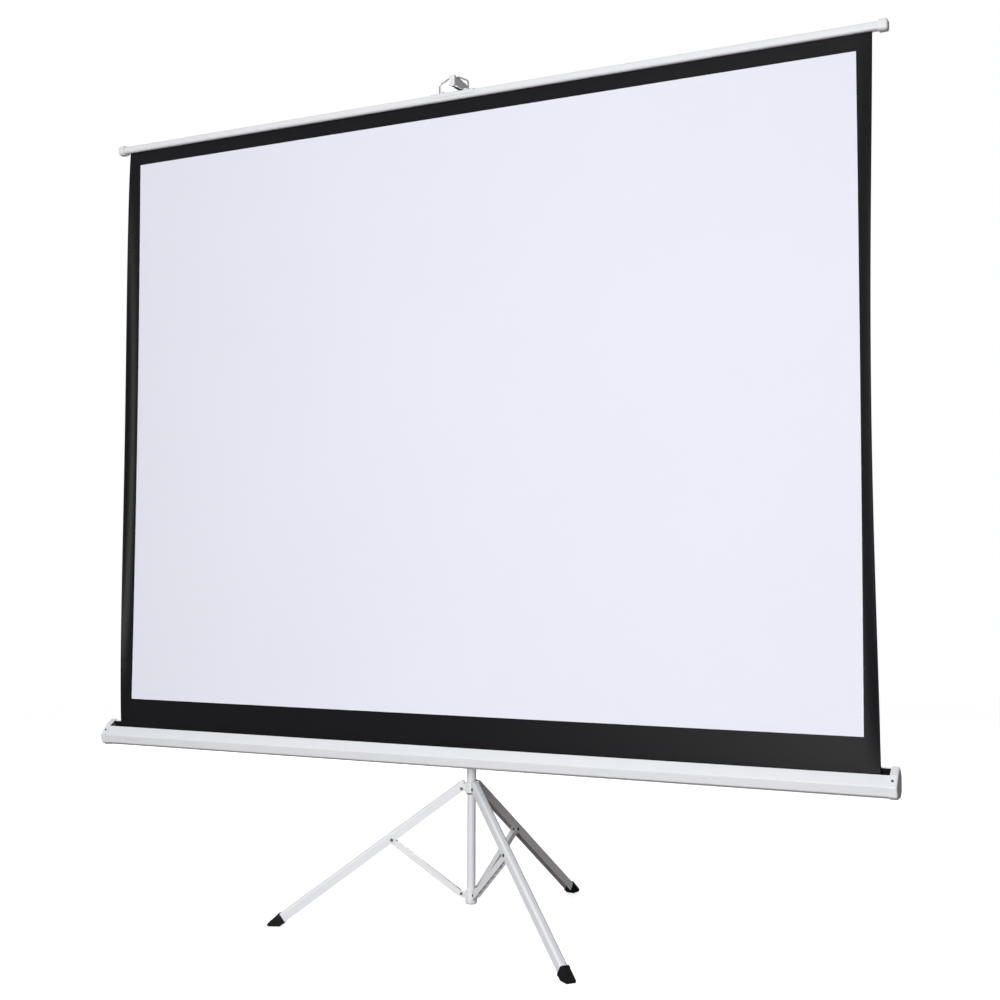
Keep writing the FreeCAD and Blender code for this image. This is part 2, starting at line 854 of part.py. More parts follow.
def leg_hub():
    """Moulded hub on the post's lower end with a lug for each leg."""
    sleeve = spin([(post_radius, post_bottom), (hub_radius, post_bottom), (hub_radius, hub_top),
                   (post_radius, hub_top)], [0, 0, hub_rounding, 0])
    one = lug(hub_lug_half_thickness, (hub_radius + post_radius) / 2, hub_pivot_height, lug_root_drop,
              lug_root_rise, lug_tip_radius, leg_pin_radius)
    body = fuse(sleeve, *[turned(one, azimuth) for azimuth in leg_azimuths])
    start, outward = hub_screw_place()
    return body.cut([
        rod(post_radius, V(0, 0, post_bottom - overrun), UP, hub_top - post_bottom + 2 * overrun),
        rod(hub_screw_radius, start - outward * hub_radius, outward, hub_radius + overrun),
    ])


def hub_screw():
    """Screw that fixes the hub on the post."""
    start, outward = hub_screw_place()
    return screw(hub_screw_radius, hub_radius - post_bore, hub_screw_head_radius,
                 hub_screw_head_height, start, -outward)


def post_bush():
    """Flanged bush in the post's lower end, which guides the spreader tube."""
    return spin([
        (pole_bore, post_bottom - bush_flange_thickness),
        (bush_flange_radius, post_bottom - bush_flange_thickness),
        (bush_flange_radius, post_bottom),
        (post_bore, post_bottom),
        (post_bore, post_bottom + bush_spigot_length),
        (pole_bore, post_bottom + bush_spigot_length),
    ])


def pivot_pins(height, body_width, radius, head_radius):
    """Return one riveted pin per leg on the pivot ring at a height."""
    start = V(pivot_ring_radius, -body_width / 2, height)
    one = headed_pin(radius, body_width, head_radius, pin_head_height, start, BACK, two_heads=True)
    return Part.makeCompound([turned(one, azimuth) for azimuth in leg_azimuths])


def in_leg_frame(shape, azimuth):
    """Move a piece from a leg's own frame (X down the leg, Z to its back) to its place."""
    piece = shape.copy()
    piece.rotate(ORIGIN, BACK, 90 - leg_spread_angle)
    piece.translate(V(pivot_ring_radius, 0, hub_pivot_height))
    return turned(piece, azimuth)


def leg_body():
    """Channel leg in its own frame, with the hub pivot at the origin and its open side down."""
    half = leg_width / 2
    inner = leg_inner_half_width
    start = V(-leg_crown_reach - overrun, 0, 0)
    length = leg_length + leg_crown_reach + overrun
    points = [(-half, -leg_lip), (-half, leg_back), (half, leg_back), (half, -leg_lip), (inner, -leg_lip),
              (inner, leg_back - leg_wall), (-inner, leg_back - leg_wall), (-inner, -leg_lip)]
    outer = leg_corner_radius
    within = leg_corner_radius - leg_wall
    channel = side_prism(points, start.x, length, [0, outer, outer, 0, 0, within, within, 0])
    outline = [
        (leg_length, -leg_lip),
        (-leg_heel_reach, -leg_lip),
        (-leg_throat_reach, leg_throat_height),
        (-leg_crown_reach, leg_crown_height),
        (-leg_shoulder_reach, leg_back),
        (leg_length, leg_back),
    ]
    side = front_prism(outline, -half, leg_width, [0, leg_heel_reach, 0, leg_wall, leg_crown_height, 0])
    holes = [rod(leg_pin_radius + gap, V(x, -half - overrun, 0), BACK, leg_width + 2 * overrun)
             for x, gap in ((0, running_gap), (linkage_length, 0))]
    return channel.common(side).cut(holes)


def boot_body(leg):
    """Rubber foot in the leg's frame, moulded round the leg's end and sloping down to a low toe."""
    points = [
        (boot_start, -boot_lip),
        (boot_end, -boot_lip),
        (boot_end, boot_toe_back),
        (boot_start, boot_back),
    ]
    body = front_prism(points, -boot_half_width, 2 * boot_half_width, [0, 0, boot_rounding, 0])
    plan = [
        (boot_half_width, -boot_lip), (boot_half_width, boot_back),
        (-boot_half_width, boot_back), (-boot_half_width, -boot_lip),
    ]
    length = boot_end - boot_start
    body = body.common(side_prism(plan, boot_start, length, [0, boot_rounding, boot_rounding, 0]))
    grown = boot_half_width + boot_rim_height
    rim_plan = [
        (grown, -boot_lip - boot_rim_height), (grown, boot_back + boot_rim_height),
        (-grown, boot_back + boot_rim_height), (-grown, -boot_lip - boot_rim_height),
    ]
    rim = side_prism(rim_plan, boot_start, boot_rim_length, [0, boot_rounding, boot_rounding, 0])
    return fuse(body, rim).cut(leg)


def cut_at_floor(shape):
    """Cut off what reaches below the floor."""
    reach = 2 * boot_end
    return shape.cut(block(-reach, reach, -reach, reach, -reach, 0))


def brace_body():
    """Ribbed brace in its own frame: leg pivot at the origin, X to the lower pivot, open side up."""
    half = brace_width / 2
    inner = half - brace_wall
    reach = brace_end_reach
    outline = [
        (-reach, -brace_back_side),
        (linkage_length + reach, -brace_back_side),
        (linkage_length + reach, brace_back_side),
        (linkage_length - reach, brace_open_side),
        (reach, brace_open_side),
        (-reach, brace_back_side),
    ]
    end_round = reach * 0.8
    radii = [end_round, end_round, end_round, brace_open_side, brace_open_side, end_round]
    body = front_prism(outline, -half, brace_width, radii)
    low = -brace_back_side + brace_wall
    high = brace_open_side + overrun
    first = brace_web_setback
    last = linkage_length - brace_web_setback
    step = (last - first) / (brace_rib_count + 1)
    ends = [
        block(-reach - overrun, first, -inner, inner, -brace_back_side - overrun, high),
        block(last, linkage_length + reach + overrun, -inner, inner, -brace_back_side - overrun, high),
    ]
    cells = [block(first, last, -inner, inner, low, high)]
    body = body.cut(ends + cells)
    ribs = []
    for k in range(brace_rib_count + 2):
        middle = first + step * k
        ribs.append(block(middle - brace_rib_thickness / 2, middle + brace_rib_thickness / 2, -inner, inner,
                          low, brace_open_side - brace_rib_inset))
    bosses = [
        rod(brace_boss_radius, V(0, inner, 0), BACK, hub_lug_half_thickness - inner),
        rod(brace_boss_radius, V(0, -inner, 0), -BACK, hub_lug_half_thickness - inner),
    ]
    body = fuse(body, *ribs, *bosses)
    return body.cut([
        rod(leg_pin_radius + running_gap, V(0, -leg_width, 0), BACK, 2 * leg_width),
        rod(lower_pin_radius + open_pivot_gap, V(linkage_length, -leg_width, 0), BACK, 2 * leg_width),
    ])


def in_brace_frame(shape, azimuth):
    """Move a brace from its own frame to its place under its leg."""
    piece = shape.copy()
    piece.rotate(ORIGIN, BACK, 90 + leg_spread_angle)
    rivet_radius = pivot_ring_radius + linkage_length * math.sin(leg_slope)
    rivet_height = hub_pivot_height - linkage_length * math.cos(leg_slope)
    piece.translate(V(rivet_radius, 0, rivet_height))
    return turned(piece, azimuth)


def brace_rivet(azimuth):
    """Rivet that carries a brace inside its leg."""
    start = V(linkage_length, -leg_width / 2, 0)
    one = headed_pin(leg_pin_radius, leg_width, leg_pin_head_radius, pin_head_height, start, BACK,
                     two_heads=True)
    return in_leg_frame(one, azimuth)


def spreader_screw_place():
    """Return where the spreader hub's screw enters it, and its inward direction."""
    angle = math.radians(hub_screw_azimuth)
    outward = V(math.cos(angle), math.sin(angle), 0)
    height = (spreader_seat_height + spreader_hub_top) / 2
    return outward * spreader_hub_radius + UP * height, -outward


def spreader_hub():
    """Closed cup at the foot of the spreader tube with a lug for each brace."""
    cup = spin([
        (0, spreader_hub_bottom),
        (spreader_hub_radius, spreader_hub_bottom),
        (spreader_hub_radius, spreader_hub_top),
        (pole_radius, spreader_hub_top),
        (pole_radius, spreader_seat_height),
        (0, spreader_seat_height),
    ], [0, spreader_cup_rounding, pin_head_height, 0, 0, 0])
    one = lug(spreader_lug_half_thickness, (pole_radius + spreader_hub_radius) / 2, lower_pivot_height,
              spreader_lug_root_drop, spreader_lug_root_rise, spreader_lug_tip_radius, lower_pin_radius)
    start, inward = spreader_screw_place()
    hole = rod(spreader_screw_radius, start - inward * overrun, inward, spreader_hub_radius)
    return fuse(cup, *[turned(one, azimuth) for azimuth in leg_azimuths]).cut(hole)


def spreader_screw():
    """Screw that fixes the spreader hub on its tube."""
    start, inward = spreader_screw_place()
    return screw(spreader_screw_radius, spreader_hub_radius - pole_radius + pole_wall,
                 spreader_screw_head_radius, spreader_screw_head_height, start, inward)


def spreader_tube():
    """Inner tube that slides up and down in the post as the legs fold."""
    body = tube(pole_radius, pole_radius - pole_wall, V(0, 0, spreader_seat_height), UP,
                spreader_top - spreader_seat_height)
    start, inward = spreader_screw_place()
    return body.cut(rod(spreader_screw_radius, start, inward, spreader_hub_radius))


def glide(tube_end, outward):
    """Plastic glide in a tube's end: a spigot inside it and a collar that runs in the post."""
    bore = pole_radius - pole_wall
    spigot = rod(bore, V(0, 0, tube_end), -outward, glide_spigot_length)
    return fuse(spigot, rod(glide_radius, V(0, 0, tube_end), outward, glide_collar_length))


def pole_tube():
    """Extension pole that carries the hook arm."""
    body = tube(pole_radius, pole_radius - pole_wall, V(0, 0, pole_bottom), UP, pole_top - pole_bottom)
    start = V(-arm_sleeve_radius, 0, hook_rivet_height)
    return body.cut(rod(arm_rivet_radius, start, RIGHT, 2 * arm_sleeve_radius))


def arm_knee():
    """Return the place where the hook arm's crown bends down toward the sleeve."""
    return (fabric_y + notch_mouth_half_width + arm_rib - arm_sleeve_radius) / 2


def arm_crown(y):
    """Return the height of the hook arm's top at a place behind the notch."""
    mouth = fabric_y + notch_mouth_half_width
    knee = arm_knee()
    if y < knee:
        return arm_top - arm_knee_drop * (y - mouth) / (knee - mouth)
    return arm_top - arm_knee_drop - (arm_crown_drop - arm_knee_drop) * (y - knee) / -knee


def arm_pocket(start, end, low, ceiling_start, ceiling_end):
    """Return the tool for a pocket in the hook arm's underside."""
    half = arm_width / 2 - arm_wall
    return side_prism([(start, low), (end, low), (end, ceiling_end), (start, ceiling_start)], -half, 2 * half)


def hook_arm():
    """Hollow moulded arm with a sleeve on the pole and an open notch for the bail."""
    nose = fabric_y - arm_nose_reach
    notch_front = fabric_y - notch_mouth_half_width
    notch_back = fabric_y + notch_mouth_half_width
    notch_floor = arm_top - notch_depth
    root = -arm_sleeve_radius
    gusset = root - arm_gusset_length
    points = [
        (nose, arm_top - arm_nose_depth),
        (nose, arm_top),
        (notch_front, arm_top),
        (fabric_y - notch_floor_half_width, notch_floor),
        (fabric_y + notch_floor_half_width, notch_floor),
        (notch_back, arm_top),
        (arm_knee(), arm_top - arm_knee_drop),
        (0, sleeve_top),
        (0, sleeve_foot),
        (root, sleeve_foot),
        (gusset, arm_top - arm_root_depth),
    ]
    soft = arm_wall / 2
    radii = [soft, nose_rounding, soft, wire_radius, wire_radius, soft, arm_knee_radius, 0, 0, 0,
             arm_gusset_length / 2]
    body = side_prism(points, -arm_width / 2, arm_width, radii)
    low = sleeve_foot - overrun
    under_notch = notch_floor - arm_wall
    rear_start = notch_back + arm_rib
    rear_end = root - arm_rib
    tools = [arm_pocket(notch_front, notch_back, low, under_notch, under_notch)]
    for start, end in ((rear_start, arm_knee() - arm_rib), (arm_knee(), rear_end)):
        tools.append(arm_pocket(start, end, low, arm_crown(start) - arm_wall, arm_crown(end) - arm_wall))
    sleeve = spin([
        (0, sleeve_foot),
        (arm_sleeve_radius, sleeve_foot),
        (arm_sleeve_radius, sleeve_top),
        (0, sleeve_top),
    ], [0, soft, arm_wall, 0])
    bore = rod(pole_radius, V(0, 0, low), UP, pole_top - low)
    rivet_start = V(-arm_sleeve_radius - overrun, 0, hook_rivet_height)
    rivet = rod(arm_rivet_radius, rivet_start, RIGHT, 2 * arm_sleeve_radius + 2 * overrun)
    return fuse(body.cut(tools), sleeve).cut([bore, rivet])


def hook_rivet():
    """Rivet that pins the hook arm on the pole."""
    start = V(-arm_sleeve_radius, 0, hook_rivet_height)
    return headed_pin(arm_rivet_radius, 2 * arm_sleeve_radius, arm_rivet_head_radius,
                      arm_rivet_head_height, start, RIGHT, two_heads=True)


def clamp_boss(tube_radius, height):
    """Return a clamp's boss behind a sleeve and the tools that bore it for shoe and stem."""
    boss = rod(clamp_boss_radius, V(0, tube_radius, height), BACK, clamp_boss_reach - tube_radius)
    stem = rod(knob_stem_radius + running_gap, V(0, 0, height), BACK, clamp_boss_reach + overrun)
    shoe_end = tube_radius + shoe_thickness + 2 * shoe_gap
    shoe = rod(shoe_radius + shoe_gap, V(0, 0, height), BACK, shoe_end)
    return boss, [stem, shoe]


def clamp_shoe(tube_radius, height):
    """Return the pad that a clamp screw presses on the tube."""
    return rod(shoe_radius, V(0, tube_radius + shoe_gap, height), BACK, shoe_thickness)


def clamp_knob(tube_radius, height):
    """Return a fluted knob with its stem, lying along +Y behind a clamp's boss."""
    stem_start = tube_radius + shoe_thickness + 2 * shoe_gap
    neck_start = clamp_boss_reach + clearance
    grip_start = neck_start + knob_neck_length
    grip_end = grip_start + knob_thickness
    body = spin([
        (0, stem_start),
        (knob_stem_radius, stem_start),
        (knob_stem_radius, neck_start),
        (knob_neck_radius, neck_start),
        (knob_neck_radius, grip_start),
        (knob_radius, grip_start),
        (knob_radius, grip_end),
        (0, grip_end),
    ], [0, 0, 0, 0, 0, knob_rounding, knob_rounding, 0])
    flutes = []
    for k in range(knob_flute_count):
        angle = 2 * math.pi * k / knob_flute_count
        outward = V(math.cos(angle), math.sin(angle), 0)
        start = outward * knob_flute_offset + UP * (grip_start - overrun)
        flutes.append(rod(knob_flute_radius, start, UP, knob_thickness + 2 * overrun))
    knob = body.cut(flutes)
    knob.rotate(ORIGIN, RIGHT, -90)
    knob.translate(UP * height)
    return knob


def post_collar():
    """Clamp collar: it grips the post and guides the pole above it."""
    low = post_top - collar_grip_length
    high = post_top + collar_head_length
    body = spin([(0, low), (collar_radius, low), (collar_radius, high), (0, high)],
                [0, collar_rounding, collar_rounding, 0])
    boss, tools = clamp_boss(pole_radius, collar_knob_height)
    tools.append(rod(post_radius, V(0, 0, low - overrun), UP, collar_grip_length + overrun))
    tools.append(rod(pole_bore, V(0, 0, low), UP, collar_grip_length + collar_head_length + overrun))
    return fuse(body, boss).cut(tools)


def carriage():
    """Sliding clamp on the post with a channel-shaped arm out to the case."""
    high = sleeve_bottom + sleeve_length
    sleeve = spin([(0, sleeve_bottom), (sleeve_radius, sleeve_bottom), (sleeve_radius, high), (0, high)],
                  [0, sleeve_rounding, sleeve_rounding, 0])
    size = swivel_pad_half_size
    pad = front_prism([(-size, swivel_height - size), (size, swivel_height - size),
                       (size, swivel_height + size), (-size, swivel_height + size)],
                      pad_y, swivel_pad_thickness, swivel_pad_rounding)
    low = swivel_height - cheek_height / 2
    top = swivel_height + cheek_height / 2
    outer = cheek_offset + cheek_thickness
    cheeks = [block(x, x + cheek_thickness, nut_y, 0, low, top) for x in (-outer, cheek_offset)]
    web = block(-outer, outer, nut_y, 0, low, low + cheek_web_thickness)
    boss, tools = clamp_boss(post_radius, carriage_knob_height)
    tools.append(rod(post_radius + running_gap, V(0, 0, sleeve_bottom - overrun), UP,
                     sleeve_length + 2 * overrun))
    tools.append(rod(pivot_bolt_radius + running_gap, V(0, pad_y - overrun, swivel_height), BACK,
                     swivel_pad_thickness + 2 * overrun))
    return fuse(sleeve, pad, web, *cheeks, boss).cut(tools)


def pivot_plate():
    """Steel plate on the case's back that takes the pivot bolt."""
    half = pivot_plate_length / 2
    low = swivel_height - pivot_plate_height / 2
    high = swivel_height + pivot_plate_height / 2
    body = front_prism([(-half, low), (half, low), (half, high), (-half, high)], case_back_y,
                       pivot_plate_thickness, pivot_plate_rounding)
    drill = pivot_plate_thickness + 2 * overrun
    holes = [rod(plate_screw_radius + running_gap, point - BACK * overrun, BACK, drill)
             for point in plate_screw_places()]
    centre = V(0, case_back_y - overrun, swivel_height)
    holes.append(rod(pivot_bolt_radius + running_gap, centre, BACK, drill))
    return body.cut(holes)


def plate_screws():
    """Screws that hold the pivot plate on the case."""
    out = BACK * pivot_plate_thickness
    length = pivot_plate_thickness + case_wall + plate_screw_tail
    return Part.makeCompound([
        screw(plate_screw_radius, length, plate_screw_head_radius, plate_screw_head_height,
              point + out, -BACK)
        for point in plate_screw_places()
    ])


def pivot_bolt():
    """Bolt from inside the case through plate, washer and carriage."""
    start = V(0, case_back_y - case_wall, swivel_height)
    length = nut_y + nut_height + overrun - start.y
    return headed_pin(pivot_bolt_radius, length, pivot_head_radius, pivot_head_height, start, BACK)


def pivot_washer():
    """Friction washer between the plate and the carriage."""
    return tube(washer_radius, pivot_bolt_radius, V(0, washer_y, swivel_height), BACK, washer_thickness)


def pivot_nut():
    """Hexagon nut on the pivot bolt."""
    radius = nut_across_flats / 2 / math.cos(math.pi / 6)
    points = []
    for k in range(6):
        angle = math.pi / 3 * k
        points.append((radius * math.cos(angle), swivel_height + radius * math.sin(angle)))
    body = front_prism(points, nut_y, nut_height)
    start = V(0, nut_y - overrun, swivel_height)
    return body.cut(rod(pivot_bolt_radius, start, BACK, nut_height + 2 * overrun))


def carry_handle():
    """Moulded grip on two feet behind the post."""
    low = handle_bottom
    high = handle_bottom + handle_length
    foot = post_radius + handle_foot_thickness
    slope = handle_foot_length + handle_slope_length
    inner = handle_reach - handle_grip_thickness
    points = [
        (0, low), (foot, low), (handle_reach, low + slope),
        (handle_reach, high - slope), (foot, high), (0, high),
        (0, high - handle_foot_length), (foot, high - handle_foot_length),
        (inner, high - slope - handle_grip_thickness / 2), (inner, low + slope + handle_grip_thickness / 2),
        (foot, low + handle_foot_length), (0, low + handle_foot_length),
    ]
    soft = handle_rounding
    radii = [0, 0, 2 * soft, 2 * soft, 0, 0, 0, 0, soft, soft, 0, 0]
    half = handle_width / 2
    body = side_prism(points, -half, handle_width, radii)
    outline = [(-half, low), (half, low), (half, high), (-half, high)]
    face = front_prism(outline, 0, handle_reach + overrun, soft)
    tools = [rod(post_radius, V(0, 0, low - overrun), UP, handle_length + 2 * overrun)]
    for point in handle_rivet_places():
        tools.append(rod(handle_rivet_radius, V(0, 0, point.z), BACK, point.y))
        tools.append(rod(handle_rivet_head_radius, point, BACK, handle_reach))
    return body.common(face).cut(tools)


def handle_rivets():
    """Rivets that hold the handle's feet on the post."""
    return Part.makeCompound([
        headed_pin(handle_rivet_radius, point.y - post_bore, handle_rivet_head_radius,
                   handle_rivet_head_height, point, -BACK)
        for point in handle_rivet_places()
    ])


def write_tripod():
    """Write the hub, legs, braces and spreader."""
    emit("leg_hub", leg_hub())
    emit("hub_screw", hub_screw())
    emit("post_bush", post_bush())
    emit("hub_rivets", pivot_pins(hub_pivot_height, leg_width, leg_pin_radius, leg_pin_head_radius))
    leg = leg_body()
    boot = boot_body(leg)
    brace = brace_body()
    for number, azimuth in enumerate(leg_azimuths, start=1):
        emit("leg_%d" % number, in_leg_frame(leg, azimuth))
        emit("leg_foot_%d" % number, cut_at_floor(in_leg_frame(boot, azimuth)))
        emit("brace_%d" % number, in_brace_frame(brace, azimuth))
        emit("brace_rivet_%d" % number, brace_rivet(azimuth))
    emit("spreader_tube", spreader_tube())
    emit("spreader_glide", glide(spreader_top, UP))
    emit("spreader_hub", spreader_hub())
    emit("spreader_screw", spreader_screw())
    grip = brace_width + 2 * running_gap
    emit("spreader_rivets", pivot_pins(lower_pivot_height, grip, lower_pin_radius, lower_pin_head_radius))


def write_post():
    """Write the post, its collar and handle, and the extension pole."""
    emit("post_tube", post_tube())
    emit("post_collar", post_collar())
    emit("collar_shoe", clamp_shoe(pole_radius, collar_knob_height))
    emit("pole_knob", clamp_knob(pole_radius, collar_knob_height))
    emit("carry_handle", carry_handle())
    emit("handle_rivets", handle_rivets())
    emit("pole_tube", pole_tube())
    emit("pole_glide", glide(pole_bottom, -UP))
    emit("hook_arm", hook_arm())
    emit("hook_rivet", hook_rivet())


def write_carriage():
    """Write the carriage and the pivot that holds the case on it."""
    emit("carriage", carriage())
    emit("carriage_shoe", clamp_shoe(post_radius, carriage_knob_height))
    emit("height_knob", clamp_knob(post_radius, carriage_knob_height))
    emit("pivot_plate", pivot_plate())
    emit("plate_screws", plate_screws())
    emit("pivot_bolt", pivot_bolt())
    emit("pivot_washer", pivot_washer())
    emit("pivot_nut", pivot_nut())


def write_case():
    """Write the case, its end caps, the spring roller and the fabric."""
    emit("case_shell", case_shell())
    cap = end_cap()
    emit("end_cap_right", cap)
    emit("end_cap_left", mirrored(cap))
    emit("roller_bracket_right", roller_bracket(spindle_radius))
    emit("roller_bracket_left", mirrored(roller_bracket(idle_pin_radius)))
    emit("cap_screws", cap_screws())
    emit("roller_tube", roller_tube())
    emit("roller_plug_left", mirrored(roller_plug(idle_pin_radius + running_gap)))
    emit("roller_plug_right", roller_plug(spindle_radius + running_gap))
    emit("idle_pin", mirrored(idle_pin()))
    emit("spring_spindle", spring_spindle())
    emit("torsion_spring", torsion_spring())
    emit("fabric_wrap", fabric_wrap())
    emit("screen_fabric", screen_fabric())


def write_bar():
    """Write the top bar, its caps and the bail."""
    emit("top_bar", top_bar())
    emit("hem_rod", hem_rod())
    emit("bar_cap_right", bar_cap())
    emit("bar_cap_left", mirrored(bar_cap()))
    emit("bail", bail())
    emit("bail_clip", bail_clip())
    emit("clip_rivets", clip_rivets())


os.makedirs("parts", exist_ok=True)
write_tripod()
write_post()
write_carriage()
write_case()
write_bar()
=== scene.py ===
import json
import math

import bmesh
import bpy
from mathutils import Matrix, Vector


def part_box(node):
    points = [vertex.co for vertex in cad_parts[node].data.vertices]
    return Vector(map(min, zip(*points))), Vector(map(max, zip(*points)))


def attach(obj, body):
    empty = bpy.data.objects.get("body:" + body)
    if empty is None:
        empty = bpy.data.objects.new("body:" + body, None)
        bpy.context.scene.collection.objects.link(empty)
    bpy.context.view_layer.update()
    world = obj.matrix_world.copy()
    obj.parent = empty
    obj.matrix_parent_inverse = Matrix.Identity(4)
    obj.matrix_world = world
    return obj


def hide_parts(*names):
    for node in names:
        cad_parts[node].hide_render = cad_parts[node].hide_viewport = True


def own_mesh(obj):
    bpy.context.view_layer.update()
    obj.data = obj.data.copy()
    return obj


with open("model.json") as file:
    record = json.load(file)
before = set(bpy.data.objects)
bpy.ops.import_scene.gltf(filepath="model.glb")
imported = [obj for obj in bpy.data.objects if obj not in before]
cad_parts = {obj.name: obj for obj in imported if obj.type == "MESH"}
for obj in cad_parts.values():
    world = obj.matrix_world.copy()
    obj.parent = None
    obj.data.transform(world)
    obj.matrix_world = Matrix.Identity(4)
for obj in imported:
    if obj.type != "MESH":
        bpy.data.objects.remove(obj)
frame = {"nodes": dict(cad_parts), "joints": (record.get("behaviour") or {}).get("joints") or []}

bl_info = {
    "name": "Tripod projection screen",
    "version": (1, 0, 0),
    "blender": (4, 5, 0),
    "location": "View3D > Sidebar > Screen",
    "description": "Dresses the packed model of a pull-up projection screen and sets its studio",
    "category": "Object",
}

MM = 0.001
LEGS = (1, 2, 3)

# Colours of light
WARM = (1.0, 0.99, 0.97)
COOL = (0.97, 0.98, 1.0)
WHITE = (1.0, 1.0, 1.0)

# Colour sockets of a Mix node
MIX_A, MIX_B, MIX_RESULT = 6, 7, 2

# Lowest and highest roughness of each finish
COAT_ROUGHNESS = (0.32, 0.46)
MOULDING_ROUGHNESS = (0.3, 0.45)
GREY_ROUGHNESS = (0.4, 0.6)
BLACK_ROUGHNESS = (0.4, 0.55)
STEEL_ROUGHNESS = (0.25, 0.42)
DARK_STEEL_ROUGHNESS = (0.35, 0.5)
RUBBER_ROUGHNESS = (0.5, 0.75)
FIELD_ROUGHNESS = (0.75, 0.85)
BORDER_ROUGHNESS = (0.34, 0.46)
BACK_ROUGHNESS = (0.55, 0.7)
FLOOR_ROUGHNESS = 0.9

# Specular level of each finish that isn't Blender's usual one
USUAL_SHINE = 0.5
BLACK_CLOTH_SHINE = 0.16
FLOOR_SHINE = 0.1

# Noise of the surface grain and of the handling marks
GRAIN_DETAIL = 2.0
MARK_DETAIL, MARK_ROUGHNESS = 6.0, 0.6

# Handling marks: how strong they are, and their colour as a share of the finish
LIGHT_MARKS, LIGHT_SHADE = 0.25, 0.8
CLEAR_MARKS, GREY_SHADE, BLACK_SHADE, CLOTH_SHADE = 0.5, 0.7, 2.0, 0.93
STRONG_MARKS, STEEL_SHADE, RUBBER_SHADE = 0.6, 0.6, 3.0

# The border's slope, as a share of the curl: at the white field, and its growth from there to the edge
CURL_START, CURL_GROWTH, CURL_STEPS = 0.2, 1.6, 12

# Faces whose normal rises less than this don't look up
UPWARD = 0.3

# Mesh columns of a side border, and rows in the case, below the white field, above it and in the bar
BORDER_COLUMNS, CASE_ROWS, LOWER_ROWS, UPPER_ROWS, BAR_ROWS = 10, 3, 8, 6, 2
FLOOR_SEGMENTS = 96

# Material slots of the sheet
FIELD_SLOT, BORDER_SLOT, BACK_SLOT = 0, 1, 2


def middle(node):
    """Return the centre of a node's box."""
    low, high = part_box(node)
    return (low + high) / 2


# Places that follow from the frame
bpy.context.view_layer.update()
FABRIC_LOW, FABRIC_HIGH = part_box("screen_fabric")
SHEET_Y = middle("hem_rod").y
BAR_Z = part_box("top_bar")[0].z
SLOT_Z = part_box("case_shell")[1].z
ROLLER = middle("roller_tube")
ROLLER_RADIUS = (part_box("roller_tube")[1].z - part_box("roller_tube")[0].z) / 2
WRAP_RADIUS = (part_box("fabric_wrap")[1].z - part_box("fabric_wrap")[0].z) / 2
FABRIC_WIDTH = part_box("fabric_wrap")[1].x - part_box("fabric_wrap")[0].x


class ScreenFabricSettings(bpy.types.PropertyGroup):
    """Sizes of the viewing sheet"""

    side_border: bpy.props.FloatProperty(
        name="Side border", description="Width of the black border at each side",
        default=36.5 * MM, min=0.0, unit="LENGTH")
    top_border: bpy.props.FloatProperty(
        name="Top border", description="Height of the black border under the top bar",
        default=38.5 * MM, min=0.0, unit="LENGTH")
    view_height: bpy.props.FloatProperty(
        name="Viewing height", description="Height of the white field",
        default=1524.0 * MM, min=0.0, unit="LENGTH")
    thickness: bpy.props.FloatProperty(
        name="Thickness", description="Thickness of the coated cloth",
        default=0.5 * MM, min=0.1 * MM, unit="LENGTH")
    curl: bpy.props.FloatProperty(
        name="Edge curl", description="Mean angle of the side borders' forward curl at mid-height",
        default=math.radians(38.0), min=0.0, unit="ROTATION")
    curl_fullness: bpy.props.FloatProperty(
        name="Curl fullness", description="Lower values keep the curl closer to the bar and the case",
        default=0.8, min=0.1, max=2.0)
    bow: bpy.props.FloatProperty(
        name="Bow", description="Distance by which the sheet stands back at mid-height",
        default=6.0 * MM, unit="LENGTH")
    columns: bpy.props.IntProperty(
        name="Columns", description="Mesh columns across the white field", default=48, min=4)
    rows: bpy.props.IntProperty(
        name="Rows", description="Mesh rows down the white field", default=60, min=4)
    turns: bpy.props.FloatProperty(
        name="Turns", description="Turns of cloth that stay on the roller", default=1.6, min=0.5)
    turn_steps: bpy.props.IntProperty(
        name="Turn steps", description="Mesh steps along the turns on the roller", default=96, min=12)
    pressed: bpy.props.FloatProperty(
        name="Pressed thickness", description="Share of its thickness that the cloth keeps on the roller",
        default=0.8, min=0.1, max=1.0, subtype="FACTOR")


